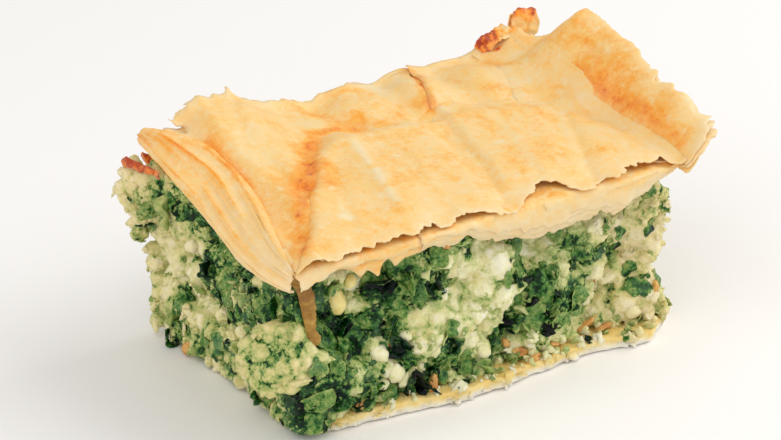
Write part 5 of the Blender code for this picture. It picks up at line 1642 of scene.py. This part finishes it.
soakedLeaf = soakedMaterial(soakedFinish, (0.0, (252, 247, 234)), (0.24, (250, 240, 214)), (0.42, (246, 226, 168)),
                            (0.60, (240, 208, 124)), (0.76, (232, 180, 90)), (0.92, (206, 132, 66)))
soakedCrust = soakedMaterial(stripFinish, (0.30, (220, 188, 116)), (0.46, (190, 150, 66)), (0.58, (160, 116, 34)),
                             (0.72, (132, 84, 26)))
soakedBase = finished(makeBase(), soakedLeaf, "bottom_pastry", "bottom_pastry")
finished(makeRibbon("cornerStrip", cornerStrip), soakedCrust, "top_pastry")


# crumbs fallen on the base, and rough pale flakes caught along its lip

ledgeCurds = {"room": "ledgeRoom", "perSquareCm": 26, "apart": 1.1, "smallest": 0.5, "largest": 2.2, "sink": -0.1,
              "tilt": 3.1, "seed": 75, "tones": (-0.2, 0.1, 0.12), "slot": "filling"}
ledgeLeaves = {"room": "ledgeRoom", "perSquareCm": 9, "apart": 1.8, "smallest": 0.4, "largest": 0.9, "sink": 0.1,
               "tilt": 0.8, "seed": 76, "tones": (0.2, 0.6, 0.5), "slot": "filling"}
lipFlakes = {"room": "lipRoom", "perSquareCm": 60, "apart": 0.7, "smallest": 0.6, "largest": 2.0, "sink": -0.1,
             "tilt": 1.2, "seed": 77, "tones": (0.0, 0.1, 0.1), "slot": "bottom_pastry"}
ledgeLumps = [lumpPiece(160 + k, (1.0, 0.8, 0.6), 0.8, 2) for k in range(6)]
ledgeScraps = [leafPiece({"seed": 170 + k, "size": 1.6, "cells": (5, 6), "fold": 0.6, "crumple": 1.2})
               for k in range(5)]
lipShapes = [lumpPiece(180 + k, (1.2, 0.7, 0.3), 0.8, 2) for k in range(6)]
scattered("ledgeCurds", soakedBase, shapesFor("ledgeLumps", ledgeLumps), ledgeCurds, curdCrumb)
scattered("ledgeLeaves", soakedBase, shapesFor("ledgeScraps", ledgeScraps, 0.2), ledgeLeaves, spinachLeaf)
scattered("lipFlakes", soakedBase, shapesFor("lipShapes", lipShapes), lipFlakes, soakedLeaf)
print("base made")


# the table, the light and the camera

floor = {"half": 2500.0, "drop": 0.15}
corners = [(x * floor["half"], y * floor["half"], -floor["drop"]) for x, y in ((-1, -1), (1, -1), (1, 1), (-1, 1))]
table = meshBuilt("paleTable", corners, [(0, 1, 2, 3)])
tableFinish = Finish("paleTable", Roughness=0.6, Specular_IOR_Level=0.2)
tableFinish.shader.inputs["Base Color"].default_value = linear(250, 248, 246)
table.data.materials.append(tableFinish.material)

middle = Vector(origin * mm)

lamps = [
    {"name": "windowLight", "place": (0.95, -0.30, 0.80), "side": 1.2, "watts": 10.6, "colour": (1.0, 0.99, 0.96)},
    {"name": "leftFill", "place": (-0.85, -0.35, 0.75), "side": 1.4, "watts": 6.4, "colour": (1.0, 0.95, 0.91)},
]
lampAim = Vector((0, 0, 0.03))
for lamp in lamps:
    light = bpy.data.lights.new(lamp["name"], "AREA")
    light.shape, light.size, light.size_y = "RECTANGLE", lamp["side"], lamp["side"]
    light.energy, light.color = lamp["watts"], lamp["colour"]
    obj = placed(lamp["name"], light)
    obj.location = middle + Vector(lamp["place"])
    obj.rotation_euler = (lampAim - Vector(lamp["place"])).to_track_quat("-Z", "Y").to_euler()

room = {"colour": (0.965, 0.975, 0.99, 1.0), "strength": 0.57}
world = bpy.data.worlds.new("paleRoom")
world.use_nodes = True
world.node_tree.nodes["Background"].inputs["Color"].default_value = room["colour"]
world.node_tree.nodes["Background"].inputs["Strength"].default_value = room["strength"]
bpy.context.scene.world = world
bpy.context.scene.view_settings.view_transform = "Standard"

view = {"place": (-0.3780, -0.5616, 0.3479), "aim": (-0.0028, 0.0048, 0.0300), "lens": 135.2, "sensor": 36.0}
camera = placed("camera", bpy.data.cameras.new("camera"))
camera.data.lens, camera.data.sensor_width = view["lens"], view["sensor"]
camera.data.clip_start, camera.data.clip_end = 0.02, 20
camera.location = middle + Vector(view["place"])
camera.rotation_euler = (Vector(view["aim"]) - Vector(view["place"])).to_track_quat("-Z", "Y").to_euler()
bpy.context.scene.camera = camera
